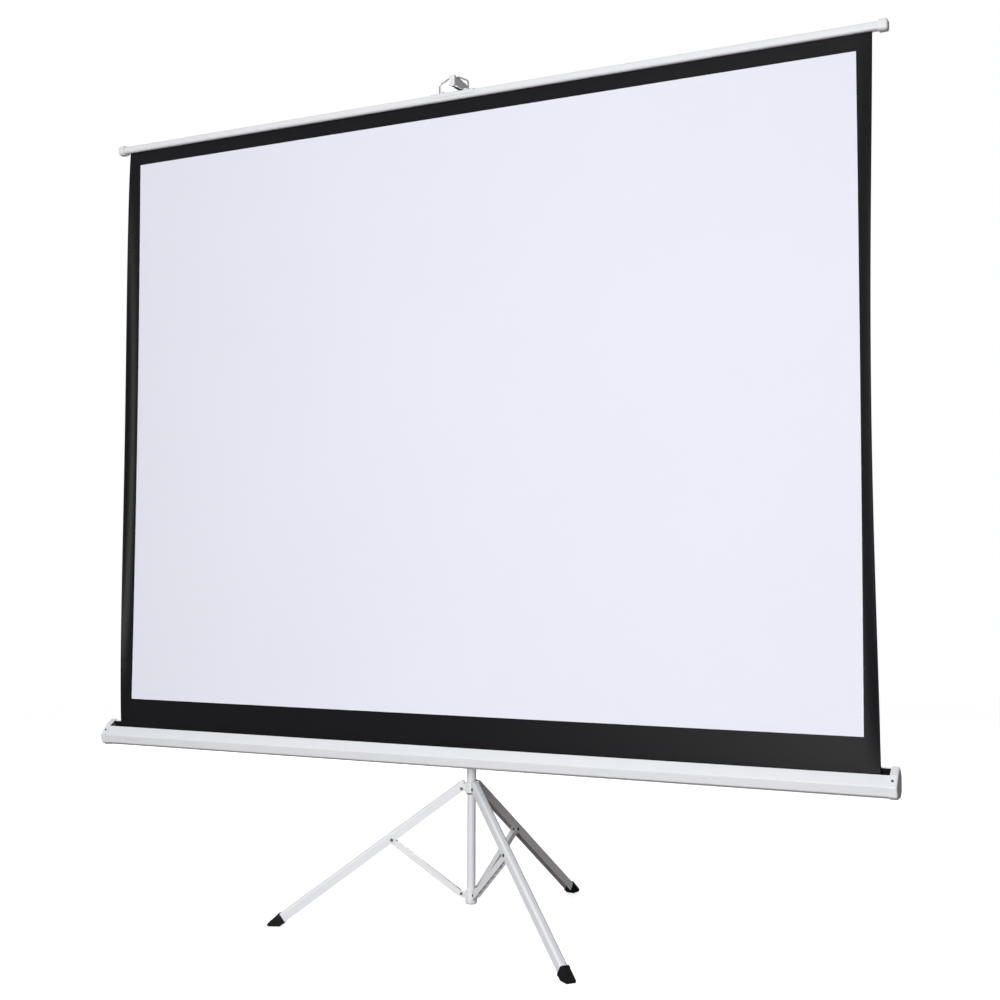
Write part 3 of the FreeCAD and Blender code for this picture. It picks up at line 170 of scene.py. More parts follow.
class ScreenFinishSettings(bpy.types.PropertyGroup):
    """Colours and textures of the finishes, and the colours and sizes of the painted shade inside the case,
    the legs and the hook arm
    """

    paint: bpy.props.FloatVectorProperty(
        name="Powder coat", description="Colour of the white coated metal",
        default=(0.80, 0.815, 0.845), size=3, min=0.0, max=1.0, subtype="COLOR")
    moulded: bpy.props.FloatVectorProperty(
        name="White mouldings", description="Colour of the white plastic pieces",
        default=(0.82, 0.83, 0.85), size=3, min=0.0, max=1.0, subtype="COLOR")
    grey: bpy.props.FloatVectorProperty(
        name="Grey mouldings", description="Colour of the bushes, glides and roller brackets",
        default=(0.16, 0.16, 0.17), size=3, min=0.0, max=1.0, subtype="COLOR")
    black: bpy.props.FloatVectorProperty(
        name="Black mouldings", description="Colour of the knobs and clamp shoes",
        default=(0.012, 0.012, 0.013), size=3, min=0.0, max=1.0, subtype="COLOR")
    rubber: bpy.props.FloatVectorProperty(
        name="Rubber", description="Colour of the feet",
        default=(0.006, 0.006, 0.0065), size=3, min=0.0, max=1.0, subtype="COLOR")
    steel: bpy.props.FloatVectorProperty(
        name="Zinc plate", description="Colour of rivets, screws and plates",
        default=(0.62, 0.63, 0.65), size=3, min=0.0, max=1.0, subtype="COLOR")
    dark_steel: bpy.props.FloatVectorProperty(
        name="Dark steel", description="Colour of the tripod's rivets and of the end caps' screws",
        default=(0.12, 0.115, 0.12), size=3, min=0.0, max=1.0, subtype="COLOR")
    # Painted shade: this near-black colour darkens the inside of the case and the hook arm's pockets to
    # stand in for the shade there
    inside: bpy.props.FloatVectorProperty(
        name="Inside", description="Colour of the inside of the case and of the hook arm's pockets",
        default=(0.02, 0.019, 0.02), size=3, min=0.0, max=1.0, subtype="COLOR")
    # Painted shade: this colour darkens the inside of the channel legs to stand in for the shade in the
    # channels, not for a thinner coat
    leg_inside: bpy.props.FloatVectorProperty(
        name="Leg inside", description="Colour of the thinly coated inside of the channel legs",
        default=(0.50, 0.46, 0.46), size=3, min=0.0, max=1.0, subtype="COLOR")
    # Painted shade: the next three sizes place the boxes in which the hook arm's pockets get the near-black
    # inside colour
    arm_core: bpy.props.FloatProperty(
        name="Arm core", description="Width of the pockets in the hook arm's underside",
        default=10.2 * MM, min=0.0, unit="LENGTH")
    arm_notch: bpy.props.FloatProperty(
        name="Arm notch", description="Length of the pocket under the bail",
        default=10.6 * MM, min=0.0, unit="LENGTH")
    arm_rib: bpy.props.FloatProperty(
        name="Arm rib", description="Thickness of the ribs between the hook arm's pockets",
        default=2.0 * MM, min=0.0, unit="LENGTH")
    white_field: bpy.props.FloatVectorProperty(
        name="White field", description="Colour of the viewing surface",
        default=(0.80, 0.81, 0.90), size=3, min=0.0, max=1.0, subtype="COLOR")
    border: bpy.props.FloatVectorProperty(
        name="Black border", description="Colour of the printed border and of the fabric's back",
        default=(0.0062, 0.0058, 0.0072), size=3, min=0.0, max=1.0, subtype="COLOR")
    marks: bpy.props.FloatProperty(
        name="Marks", description="Size of the handling marks on hard pieces",
        default=120.0 * MM, min=1.0 * MM, unit="LENGTH")
    cloth_marks: bpy.props.FloatProperty(
        name="Cloth marks", description="Size of the slow changes of tone in the fabric",
        default=500.0 * MM, min=1.0 * MM, unit="LENGTH")
    coat_grain: bpy.props.FloatProperty(
        name="Orange peel", description="Size of the ripples in the powder coat",
        default=1.6 * MM, min=0.1 * MM, unit="LENGTH")
    coat_depth: bpy.props.FloatProperty(
        name="Orange peel depth", description="Depth of the ripples in the powder coat",
        default=0.02 * MM, min=0.0, unit="LENGTH")
    moulded_grain: bpy.props.FloatProperty(
        name="Moulding grain", description="Size of the spark-eroded texture of the plastic pieces",
        default=0.6 * MM, min=0.1 * MM, unit="LENGTH")
    moulded_depth: bpy.props.FloatProperty(
        name="Moulding grain depth", description="Depth of the plastic pieces' texture",
        default=0.01 * MM, min=0.0, unit="LENGTH")
    plate_grain: bpy.props.FloatProperty(
        name="Plating grain", description="Size of the brushed texture under the plating",
        default=0.4 * MM, min=0.1 * MM, unit="LENGTH")
    plate_depth: bpy.props.FloatProperty(
        name="Plating grain depth", description="Depth of the texture under the plating",
        default=0.01 * MM, min=0.0, unit="LENGTH")
    rubber_shine: bpy.props.FloatProperty(
        name="Rubber shine", description="Specular level of the feet", default=0.15, min=0.0, max=1.0,
        subtype="FACTOR")
    rubber_grain: bpy.props.FloatProperty(
        name="Rubber grain", description="Size of the pebbled texture of the feet",
        default=0.7 * MM, min=0.1 * MM, unit="LENGTH")
    rubber_depth: bpy.props.FloatProperty(
        name="Rubber grain depth", description="Depth of the pebbled texture of the feet",
        default=0.06 * MM, min=0.0, unit="LENGTH")
    weave: bpy.props.FloatProperty(
        name="Weave", description="Thread spacing of the fabric",
        default=0.7 * MM, min=0.1 * MM, unit="LENGTH")
    field_depth: bpy.props.FloatProperty(
        name="White weave depth", description="Depth of the weave under the white coating",
        default=0.01 * MM, min=0.0, unit="LENGTH")
    border_depth: bpy.props.FloatProperty(
        name="Border weave depth", description="Depth of the weave under the black print",
        default=0.02 * MM, min=0.0, unit="LENGTH")
    back_depth: bpy.props.FloatProperty(
        name="Back weave depth", description="Depth of the weave on the bare back",
        default=0.05 * MM, min=0.0, unit="LENGTH")


class ScreenStageSettings(bpy.types.PropertyGroup):
    """Camera, floor and lights"""

    camera_place: bpy.props.FloatVectorProperty(
        name="Camera place", description="Camera's place from the middle of the white field",
        default=(1.623, -3.086, -0.411), size=3, unit="LENGTH", subtype="TRANSLATION")
    camera_yaw: bpy.props.FloatProperty(
        name="Camera yaw", description="Turn of the camera about the vertical",
        default=math.radians(25.753), unit="ROTATION")
    camera_pitch: bpy.props.FloatProperty(
        name="Camera pitch", description="Rise of the camera's line of sight",
        default=math.radians(3.09), unit="ROTATION")
    camera_roll: bpy.props.FloatProperty(
        name="Camera roll", description="Turn of the camera about its line of sight",
        default=math.radians(-0.15), unit="ROTATION")
    lens: bpy.props.FloatProperty(
        name="Lens", description="Focal length on the given sensor",
        default=49.88, min=10.0, unit="CAMERA")
    sensor: bpy.props.FloatProperty(
        name="Sensor", description="Width of the camera's sensor", default=36.0, min=1.0, unit="CAMERA")
    clip_end: bpy.props.FloatProperty(
        name="Clip end", description="Distance beyond which the camera sees nothing",
        default=200.0, min=10.0, unit="LENGTH")
    field_height: bpy.props.FloatProperty(
        name="Field height", description="Height of the white field's middle above the floor",
        default=1314.0 * MM, unit="LENGTH")
    floor_radius: bpy.props.FloatProperty(
        name="Floor radius", description="Radius of the studio floor", default=60.0, min=5.0, unit="LENGTH")
    floor_drop: bpy.props.FloatProperty(
        name="Floor drop", description="Gap between the feet and the studio floor",
        default=0.5 * MM, min=0.0, unit="LENGTH")
    clear_radius: bpy.props.FloatProperty(
        name="Clear radius", description="Radius within which the floor shows its own shading",
        default=2.5, min=0.0, unit="LENGTH")
    fade_radius: bpy.props.FloatProperty(
        name="Fade radius", description="Radius from which the floor is plain white",
        default=8.0, min=0.0, unit="LENGTH")
    floor: bpy.props.FloatVectorProperty(
        name="Floor", description="Colour of the studio floor as the camera sees it",
        default=(0.90, 0.895, 0.89), size=3, min=0.0, max=1.0, subtype="COLOR")
    floor_glow: bpy.props.FloatProperty(
        name="Floor glow", description="Light that the camera sees from the floor beyond its shading",
        default=0.66, min=0.0)
    bounce: bpy.props.FloatVectorProperty(
        name="Bounce", description="Colour that the floor throws back on the object",
        default=(0.17, 0.14, 0.13), size=3, min=0.0, max=1.0, subtype="COLOR")
    fill_lit: bpy.props.FloatProperty(
        name="Fill, lit side", description="Strength of the surroundings on the lamps' side",
        default=0.5, min=0.0)
    fill_dark: bpy.props.FloatProperty(
        name="Fill, dark side", description="Strength of the surroundings on the far side",
        default=0.08, min=0.0)
    fill_toward: bpy.props.FloatVectorProperty(
        name="Fill direction", description="Direction in which the surroundings are brightest",
        default=(-0.75, -0.6, 0.3), size=3, subtype="DIRECTION")
    key_place: bpy.props.FloatVectorProperty(
        name="Key place", description="Place of the key lamp from the middle of the white field",
        default=(1.0, -5.0, -0.2), size=3, unit="LENGTH", subtype="TRANSLATION")
    key_size: bpy.props.FloatProperty(
        name="Key size", description="Width of the key lamp", default=2.5, min=0.1, unit="LENGTH")
    key: bpy.props.FloatProperty(
        name="Key light", description="Power of the lamp in front", default=218.0, min=0.0, unit="POWER")
    side_place: bpy.props.FloatVectorProperty(
        name="Side place", description="Place of the side lamp from the middle of the white field",
        default=(-4.6, -2.4, 0.4), size=3, unit="LENGTH", subtype="TRANSLATION")
    side_size: bpy.props.FloatProperty(
        name="Side size", description="Width of the side lamp", default=2.0, min=0.1, unit="LENGTH")
    side: bpy.props.FloatProperty(
        name="Side light", description="Power of the lamp on the left", default=14.0, min=0.0, unit="POWER")
    top_place: bpy.props.FloatVectorProperty(
        name="Top place", description="Place of the top lamp from the middle of the white field",
        default=(-0.6, -1.2, 2.8), size=3, unit="LENGTH", subtype="TRANSLATION")
    top_size: bpy.props.FloatProperty(
        name="Top size", description="Width of the top lamp", default=3.0, min=0.1, unit="LENGTH")
    top: bpy.props.FloatProperty(
        name="Top light", description="Power of the lamp overhead", default=10.0, min=0.0, unit="POWER")
    back_place: bpy.props.FloatVectorProperty(
        name="Back place", description="Place of the back lamp from the middle of the white field",
        default=(-2.4, 4.6, 0.4), size=3, unit="LENGTH", subtype="TRANSLATION")
    back_size: bpy.props.FloatProperty(
        name="Back size", description="Width of the back lamp", default=2.5, min=0.1, unit="LENGTH")
    back: bpy.props.FloatProperty(
        name="Back light", description="Power of the lamp behind", default=150.0, min=0.0, unit="POWER")


def add_piece(name, mesh, body):
    """Link a mesh as a piece that rides on a body."""
    piece = bpy.data.objects.new(name, mesh)
    bpy.context.scene.collection.objects.link(piece)
    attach(piece, body)
    return piece


def set_shading(mesh, smooth=True):
    """Shade all faces of a mesh alike."""
    mesh.polygons.foreach_set("use_smooth", [smooth] * len(mesh.polygons))


def dress(nodes, material):
    """Give CAD nodes a material in all their slots."""
    for name in nodes:
        mesh = frame["nodes"][name].data
        mesh.materials.clear()
        mesh.materials.append(material)


def new_group(name, inputs, outputs):
    """Make a shader node group with named float, colour or vector sockets."""
    group = bpy.data.node_groups.new(name, "ShaderNodeTree")
    for label, kind, default in inputs:
        socket = group.interface.new_socket(label, in_out="INPUT", socket_type=kind)
        socket.default_value = default
    for label, kind in outputs:
        group.interface.new_socket(label, in_out="OUTPUT", socket_type=kind)
    start = group.nodes.new("NodeGroupInput")
    end = group.nodes.new("NodeGroupOutput")
    return group, start.outputs, end.inputs


def math_node(tree, operation, first, second=None):
    """Add a Math node whose inputs are sockets or numbers, and return its output."""
    node = tree.nodes.new("ShaderNodeMath")
    node.operation = operation
    for socket, value in zip(node.inputs, (first, second)):
        if isinstance(value, bpy.types.NodeSocket):
            tree.links.new(value, socket)
        elif value is not None:
            socket.default_value = value
    return node.outputs[0]


def noise_node(tree, scale, detail, roughness=0.5):
    """Add a noise texture in object coordinates, scaled by a socket, and return its value."""
    place = tree.nodes.new("ShaderNodeTexCoord")
    noise = tree.nodes.new("ShaderNodeTexNoise")
    noise.inputs["Detail"].default_value = detail
    noise.inputs["Roughness"].default_value = roughness
    tree.links.new(place.outputs["Object"], noise.inputs["Vector"])
    tree.links.new(scale, noise.inputs["Scale"])
    return noise.outputs["Fac"]


def make_grain_group():
    """Fine surface grain: ripples of a given size and depth, as a normal."""
    group, given, out = new_group(
        "Surface grain",
        [("Size", "NodeSocketFloat", MM), ("Depth", "NodeSocketFloat", 0.0)],
        [("Normal", "NodeSocketVector")])
    scale = math_node(group, "DIVIDE", 1.0, given["Size"])
    height = noise_node(group, scale, GRAIN_DETAIL)
    bump = group.nodes.new("ShaderNodeBump")
    bump.inputs["Strength"].default_value = 1.0
    group.links.new(given["Depth"], bump.inputs["Distance"])
    group.links.new(height, bump.inputs["Height"])
    group.links.new(bump.outputs["Normal"], out["Normal"])
    return group


def make_handling_group():
    """Slow changes of tone and gloss, as handling and dust leave them."""
    group, given, out = new_group(
        "Handling marks",
        [("Color", "NodeSocketColor", (0.8, 0.8, 0.8, 1.0)),
         ("Marked Color", "NodeSocketColor", (0.7, 0.7, 0.7, 1.0)),
         ("Amount", "NodeSocketFloat", 0.1), ("Size", "NodeSocketFloat", 0.1),
         ("Roughness Low", "NodeSocketFloat", 0.35), ("Roughness High", "NodeSocketFloat", 0.5)],
        [("Color", "NodeSocketColor"), ("Roughness", "NodeSocketFloat")])
    scale = math_node(group, "DIVIDE", 1.0, given["Size"])
    slow = noise_node(group, scale, MARK_DETAIL, MARK_ROUGHNESS)
    mask = math_node(group, "MULTIPLY", slow, given["Amount"])
    mix = group.nodes.new("ShaderNodeMix")
    mix.data_type = "RGBA"
    group.links.new(mask, mix.inputs["Factor"])
    group.links.new(given["Color"], mix.inputs[MIX_A])
    group.links.new(given["Marked Color"], mix.inputs[MIX_B])
    group.links.new(mix.outputs[MIX_RESULT], out["Color"])
    gloss = group.nodes.new("ShaderNodeMapRange")
    group.links.new(slow, gloss.inputs["Value"])
    group.links.new(given["Roughness Low"], gloss.inputs["To Min"])
    group.links.new(given["Roughness High"], gloss.inputs["To Max"])
    group.links.new(gloss.outputs["Result"], out["Roughness"])
    return group


def make_weave_group():
    """Plain weave of threads along X and Z, as a height."""
    group, given, out = new_group(
        "Plain weave", [("Spacing", "NodeSocketFloat", MM)], [("Height", "NodeSocketFloat")])
    place = group.nodes.new("ShaderNodeTexCoord")
    split = group.nodes.new("ShaderNodeSeparateXYZ")
    group.links.new(place.outputs["Object"], split.inputs["Vector"])
    turns = math_node(group, "DIVIDE", 2 * math.pi, given["Spacing"])
    across = math_node(group, "SINE", math_node(group, "MULTIPLY", split.outputs["X"], turns))
    along = math_node(group, "SINE", math_node(group, "MULTIPLY", split.outputs["Z"], turns))
    height = math_node(group, "MULTIPLY", across, along)
    group.links.new(height, out["Height"])
    return group


def vector_node(tree, operation, first, second, result="Vector"):
    """Add a Vector Math node between two sockets and return its named output."""
    node = tree.nodes.new("ShaderNodeVectorMath")
    node.operation = operation
    tree.links.new(first, node.inputs[0])
    tree.links.new(second, node.inputs[1])
    return node.outputs[result]


def make_inside_group():
    """Mask of the faces that look toward a line, such as the inside of a long channel; the case and the
    legs get painted shade on them.
    """
    group, given, out = new_group(
        "Inside mask",
        [("Through", "NodeSocketVector", (0.0, 0.0, 0.0)), ("Along", "NodeSocketVector", (1.0, 0.0, 0.0))],
        [("Mask", "NodeSocketFloat")])
    place = group.nodes.new("ShaderNodeTexCoord")
    toward = vector_node(group, "SUBTRACT", given["Through"], place.outputs["Object"])
    run = vector_node(group, "PROJECT", toward, given["Along"])
    across = vector_node(group, "SUBTRACT", toward, run)
    facing = vector_node(group, "DOT_PRODUCT", across, place.outputs["Normal"], "Value")
    group.links.new(math_node(group, "GREATER_THAN", facing, 0.0), out["Mask"])
    return group


def make_core_group():
    """Mask of the faces in a box that don't look up, such as the pockets of a hollow arm; the hook arm's
    material paints shade on them.
    """
    group, given, out = new_group(
        "Core mask",
        [("Middle", "NodeSocketVector", (0.0, 0.0, 0.0)),
         ("Half Size", "NodeSocketVector", (1.0, 1.0, 1.0))],
        [("Mask", "NodeSocketFloat")])
    place = group.nodes.new("ShaderNodeTexCoord")
    away = vector_node(group, "SUBTRACT", place.outputs["Object"], given["Middle"])
    share = group.nodes.new("ShaderNodeSeparateXYZ")
    group.links.new(vector_node(group, "DIVIDE", away, given["Half Size"]), share.inputs["Vector"])
    facing = group.nodes.new("ShaderNodeSeparateXYZ")
    group.links.new(place.outputs["Normal"], facing.inputs["Vector"])
    mask = math_node(group, "LESS_THAN", facing.outputs["Z"], UPWARD)
    for label in ("X", "Y", "Z"):
        inside = math_node(group, "LESS_THAN", math_node(group, "ABSOLUTE", share.outputs[label]), 1.0)
        mask = math_node(group, "MULTIPLY", mask, inside)
    group.links.new(mask, out["Mask"])
    return group


def shader(name):
    """Start a material and return it with its tree and its Principled BSDF."""
    material = bpy.data.materials.new(name)
    material.use_nodes = True
    return material, material.node_tree, material.node_tree.nodes["Principled BSDF"]


def place_group(tree, group, **values):
    """Place a node group in a material, with its values set by name."""
    node = tree.nodes.new("ShaderNodeGroup")
    node.node_tree = group
    for label, value in values.items():
        node.inputs[label.replace("_", " ")].default_value = value
    return node


def finish_material(
        name, look, color, shade, amount, roughness, grain, depth, metallic=0.0, shine=USUAL_SHINE):
    """Material with surface grain, and handling marks of the given shade and amount."""
    material, tree, surface = shader(name)
    handled = place_group(
        tree, GROUPS["handling"], Color=(*color, 1.0), Marked_Color=(*shade_of(color, shade), 1.0),
        Amount=amount, Size=look.marks, Roughness_Low=roughness[0], Roughness_High=roughness[1])
    grained = place_group(tree, GROUPS["grain"], Size=grain, Depth=depth)
    tree.links.new(handled.outputs["Color"], surface.inputs["Base Color"])
    tree.links.new(handled.outputs["Roughness"], surface.inputs["Roughness"])
    tree.links.new(grained.outputs["Normal"], surface.inputs["Normal"])
    surface.inputs["Metallic"].default_value = metallic
    surface.inputs["Specular IOR Level"].default_value = shine
    return material


def shade_of(color, share):
    """Return a share of a colour."""
    return tuple(channel * share for channel in color)


def paint_shade(material, color, group, **values):
    """Paint shade: give the faces that a mask group finds a darker colour that stands in for the shade on
    them.
    """
    tree = material.node_tree
    target = tree.nodes["Principled BSDF"].inputs["Base Color"]
    outer = target.links[0].from_socket
    inside = place_group(tree, GROUPS[group], **values)
    mix = tree.nodes.new("ShaderNodeMix")
    mix.data_type = "RGBA"
    tree.links.new(inside.outputs["Mask"], mix.inputs["Factor"])
    tree.links.new(outer, mix.inputs[MIX_A])
    mix.inputs[MIX_B].default_value = (*color, 1.0)
    tree.links.new(mix.outputs[MIX_RESULT], target)


def cloth_material(name, look, color, depth, roughness, shine):
    """Coated cloth: a fine weave under a coating."""
    material, tree, surface = shader(name)
    handled = place_group(
        tree, GROUPS["handling"], Color=(*color, 1.0), Marked_Color=(*shade_of(color, CLOTH_SHADE), 1.0),
        Amount=CLEAR_MARKS, Size=look.cloth_marks, Roughness_Low=roughness[0], Roughness_High=roughness[1])
    woven = place_group(tree, GROUPS["weave"], Spacing=look.weave)
    bump = tree.nodes.new("ShaderNodeBump")
    bump.inputs["Distance"].default_value = depth
    tree.links.new(woven.outputs["Height"], bump.inputs["Height"])
    tree.links.new(handled.outputs["Color"], surface.inputs["Base Color"])
    tree.links.new(handled.outputs["Roughness"], surface.inputs["Roughness"])
    tree.links.new(bump.outputs["Normal"], surface.inputs["Normal"])
    surface.inputs["Specular IOR Level"].default_value = shine
    return material


def coat_material(name, look):
    """White powder coat."""
    return finish_material(name, look, look.paint, LIGHT_SHADE, LIGHT_MARKS, COAT_ROUGHNESS,
                           look.coat_grain, look.coat_depth)


def joint_named(name):
    """Return a joint as the frame states it."""
    for joint in frame["joints"]:
        if joint["name"] == name:
            return joint
    raise ValueError("the frame has no joint named " + name)


def joint_place(name):
    """Return the place of a joint's axis."""
    return Vector(joint_named(name)["pos_m"])


GROUPS = {}


class PULLSCREEN_OT_finish_frame(bpy.types.Operator):
    """Give the coated tubes, legs, case and bar their white powder coat, with painted shade inside the case
    and the legs' channels
    """

    bl_idname = "pullscreen.finish_frame"
    bl_label = "Coated metal"

    def execute(self, context):
        look = context.scene.screen_finish
        dress(["post_tube", "spreader_tube", "pole_tube", "top_bar", "bail_clip"],
              coat_material("white powder coat", look))
        case = coat_material("case powder coat", look)
        # Painted shade: the case's inner faces get the near-black inside colour in place of the shade in
        # the slot
        paint_shade(case, look.inside, "inside", Through=middle("case_shell"), Along=(1.0, 0.0, 0.0))
        dress(["case_shell"], case)
        for number in LEGS:
            pivot = joint_place("leg_%d_fold" % number)
            leg = coat_material("leg %d powder coat" % number, look)
            along = joint_place("brace_%d_swing" % number) - pivot
            # Painted shade in the leg's channel, in place of the shade there
            paint_shade(leg, look.leg_inside, "inside", Through=pivot, Along=along)
            dress(["leg_%d" % number], leg)
        return {"FINISHED"}


class PULLSCREEN_OT_finish_mouldings(bpy.types.Operator):
    """Give the plastic pieces their white, grey and black mouldings' finish, with painted shade in the hook
    arm's pockets
    """

    bl_idname = "pullscreen.finish_mouldings"
    bl_label = "Mouldings"

    def execute(self, context):
        look = context.scene.screen_finish
        grain, depth = look.moulded_grain, look.moulded_depth
        white, arm = (
            finish_material(name, look, look.moulded, LIGHT_SHADE, LIGHT_MARKS, MOULDING_ROUGHNESS,
                            grain, depth)
            for name in ("white moulding", "hook arm moulding"))
        grey = finish_material(
            "grey moulding", look, look.grey, GREY_SHADE, CLEAR_MARKS, GREY_ROUGHNESS, grain, depth)
        black = finish_material(
            "black moulding", look, look.black, BLACK_SHADE, CLEAR_MARKS, BLACK_ROUGHNESS, grain, 2 * depth)
        dress(["leg_hub", "spreader_hub", "brace_1", "brace_2", "brace_3", "end_cap_left", "end_cap_right",
               "bar_cap_left", "bar_cap_right", "carriage", "post_collar", "carry_handle"], white)
        # Painted shade: the hook arm's pockets, under the bail and behind it, get the near-black inside
        # colour in place of their shade
        low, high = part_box("hook_arm")
        root = 2 * middle("pole_tube").y - high.y - look.arm_rib
        notch = look.arm_notch / 2
        for start, end in ((SHEET_Y - notch, SHEET_Y + notch), (SHEET_Y + notch + look.arm_rib, root)):
            pocket = Vector((0.0, (start + end) / 2, (low.z + high.z) / 2))
            half = Vector((look.arm_core, end - start, high.z - low.z)) / 2
            paint_shade(arm, look.inside, "core", Middle=pocket, Half_Size=half)
        dress(["hook_arm"], arm)
        dress(["post_bush", "spreader_glide", "pole_glide", "roller_plug_left", "roller_plug_right",
               "roller_bracket_left", "roller_bracket_right"], grey)
        dress(["height_knob", "pole_knob", "collar_shoe", "carriage_shoe"], black)
        return {"FINISHED"}


class PULLSCREEN_OT_finish_fittings(bpy.types.Operator):
    """Give rivets, screws, pins and plates their zinc plate or black finish"""

    bl_idname = "pullscreen.finish_fittings"
    bl_label = "Steel fittings"

    def execute(self, context):
        look = context.scene.screen_finish
        steel = finish_material(
            "zinc plated steel", look, look.steel, STEEL_SHADE, STRONG_MARKS, STEEL_ROUGHNESS,
            look.plate_grain, look.plate_depth, metallic=1.0)
        dark = finish_material(
            "blackened steel", look, look.dark_steel, STEEL_SHADE, STRONG_MARKS, DARK_STEEL_ROUGHNESS,
            look.plate_grain, look.plate_depth, metallic=1.0)
        dress(["hub_screw", "spreader_screw", "handle_rivets", "hook_rivet", "clip_rivets", "plate_screws",
               "pivot_plate", "pivot_bolt", "pivot_washer", "pivot_nut", "idle_pin", "spring_spindle",
               "torsion_spring", "roller_tube", "hem_rod", "bail"], steel)
        dress(["cap_screws", "hub_rivets", "spreader_rivets",
               "brace_rivet_1", "brace_rivet_2", "brace_rivet_3"], dark)
        return {"FINISHED"}


class PULLSCREEN_OT_finish_feet(bpy.types.Operator):
    """Give the feet their rubber"""

    bl_idname = "pullscreen.finish_feet"
    bl_label = "Rubber feet"

    def execute(self, context):
        look = context.scene.screen_finish
        rubber = finish_material(
            "black rubber", look, look.rubber, RUBBER_SHADE, STRONG_MARKS, RUBBER_ROUGHNESS,
            look.rubber_grain, look.rubber_depth, shine=look.rubber_shine)
        dress(["leg_foot_1", "leg_foot_2", "leg_foot_3"], rubber)
        return {"FINISHED"}


def spread(start, end, count):
    """Return count + 1 values from start to end."""
    return [start + (end - start) * k / count for k in range(count + 1)]


def curled_line(distance, half_white, curl):
    """Return the place across and forward, and the slope, of a point on the sheet's half."""
    if distance <= half_white:
        return distance, 0.0, 0.0
    width = FABRIC_WIDTH / 2 - half_white
    length = (distance - half_white) / CURL_STEPS
    across, forward, slope = half_white, 0.0, 0.0
    for k in range(CURL_STEPS):
        share = length * (k + 0.5) / width
        slope = curl * (CURL_START + CURL_GROWTH * share)
        across += length * math.cos(slope)
        forward += length * math.sin(slope)
    return across, forward, slope


def sheet_mesh(look):
    """Closed thin mesh of the sheet, with material slots for the white field, the borders and the back."""
    half = FABRIC_WIDTH / 2
    half_white = half - look.side_border
    white_top = BAR_Z - look.top_border
    white_low = white_top - look.view_height
    border = spread(half_white, half, BORDER_COLUMNS)
    field = spread(-half_white, half_white, look.columns)
    columns = [-place for place in border[:0:-1]] + field + border[1:]
    rows = spread(FABRIC_LOW.z, SLOT_Z, CASE_ROWS)[:-1] + spread(SLOT_Z, white_low, LOWER_ROWS)[:-1]
    rows += spread(white_low, white_top, look.rows)[:-1] + spread(white_top, BAR_Z, UPPER_ROWS)[:-1]
    rows += spread(BAR_Z, FABRIC_HIGH.z, BAR_ROWS)
    points = []
    for side in (-1, 1):
        for z in rows:
            share = min(max((z - SLOT_Z) / (BAR_Z - SLOT_Z), 0.0), 1.0)
            arch = math.sin(math.pi * share)
            curl = look.curl * arch ** look.curl_fullness
            for place in columns:
                across, forward, slope = curled_line(abs(place), half_white, curl)
                offset = side * look.thickness / 2
                x = math.copysign(across + offset * math.sin(slope), place)
                points.append((x, SHEET_Y + look.bow * arch - forward + offset * math.cos(slope), z))
    wide, high = len(columns), len(rows)
    layer = wide * high
    faces, slots = [], []
    for j in range(high - 1):
        for k in range(wide - 1):
            corner = j * wide + k
            faces.append((corner, corner + 1, corner + wide + 1, corner + wide))
            inside_x = abs(columns[k] + columns[k + 1]) / 2 < half_white
            inside_z = white_low < (rows[j] + rows[j + 1]) / 2 < white_top
            slots.append(FIELD_SLOT if inside_x and inside_z else BORDER_SLOT)
            back = corner + layer
            faces.append((back, back + wide, back + wide + 1, back + 1))
            slots.append(BACK_SLOT)
    rim = list(range(wide - 1))
    rim += [j * wide + wide - 1 for j in range(high - 1)]
    rim += [(high - 1) * wide + k for k in range(wide - 1, 0, -1)]
    rim += [j * wide for j in range(high - 1, 0, -1)]
    for k, here in enumerate(rim):
        following = rim[(k + 1) % len(rim)]
        faces.append((here, here + layer, following + layer, following))
        slots.append(BACK_SLOT)
    mesh = bpy.data.meshes.new("sheet")
    mesh.from_pydata(points, [], faces)
    mesh.polygons.foreach_set("material_index", slots)
    set_shading(mesh)
    mesh.update()
    return mesh


def wound_mesh(look):
    """Mesh of the turns on the roller, as a spiral from the tangent point behind it."""
    thickness = look.thickness * look.pressed
    outer = WRAP_RADIUS - thickness / 2
    inner = ROLLER_RADIUS + thickness / 2
    half = FABRIC_WIDTH / 2
    points = []
    for k in range(look.turn_steps + 1):
        angle = 2 * math.pi * look.turns * k / look.turn_steps
        radius = outer + (inner - outer) * k / look.turn_steps
        for grown in (thickness / 2, -thickness / 2):
            y = ROLLER.y + (radius + grown) * math.cos(angle)
            z = ROLLER.z - (radius + grown) * math.sin(angle)
            points.append((-half, y, z))
            points.append((half, y, z))
    faces = []
    for k in range(look.turn_steps):
        a, b = 4 * k, 4 * k + 4
        faces += [(a, a + 1, b + 1, b), (a + 2, b + 2, b + 3, a + 3),
                  (a, b, b + 2, a + 2), (a + 1, a + 3, b + 3, b + 1)]
    last = 4 * look.turn_steps
    faces += [(0, 2, 3, 1), (last, last + 1, last + 3, last + 2)]
    mesh = bpy.data.meshes.new("wound")
    mesh.from_pydata(points, [], faces)
    set_shading(mesh, smooth=False)
    mesh.update()
    return mesh


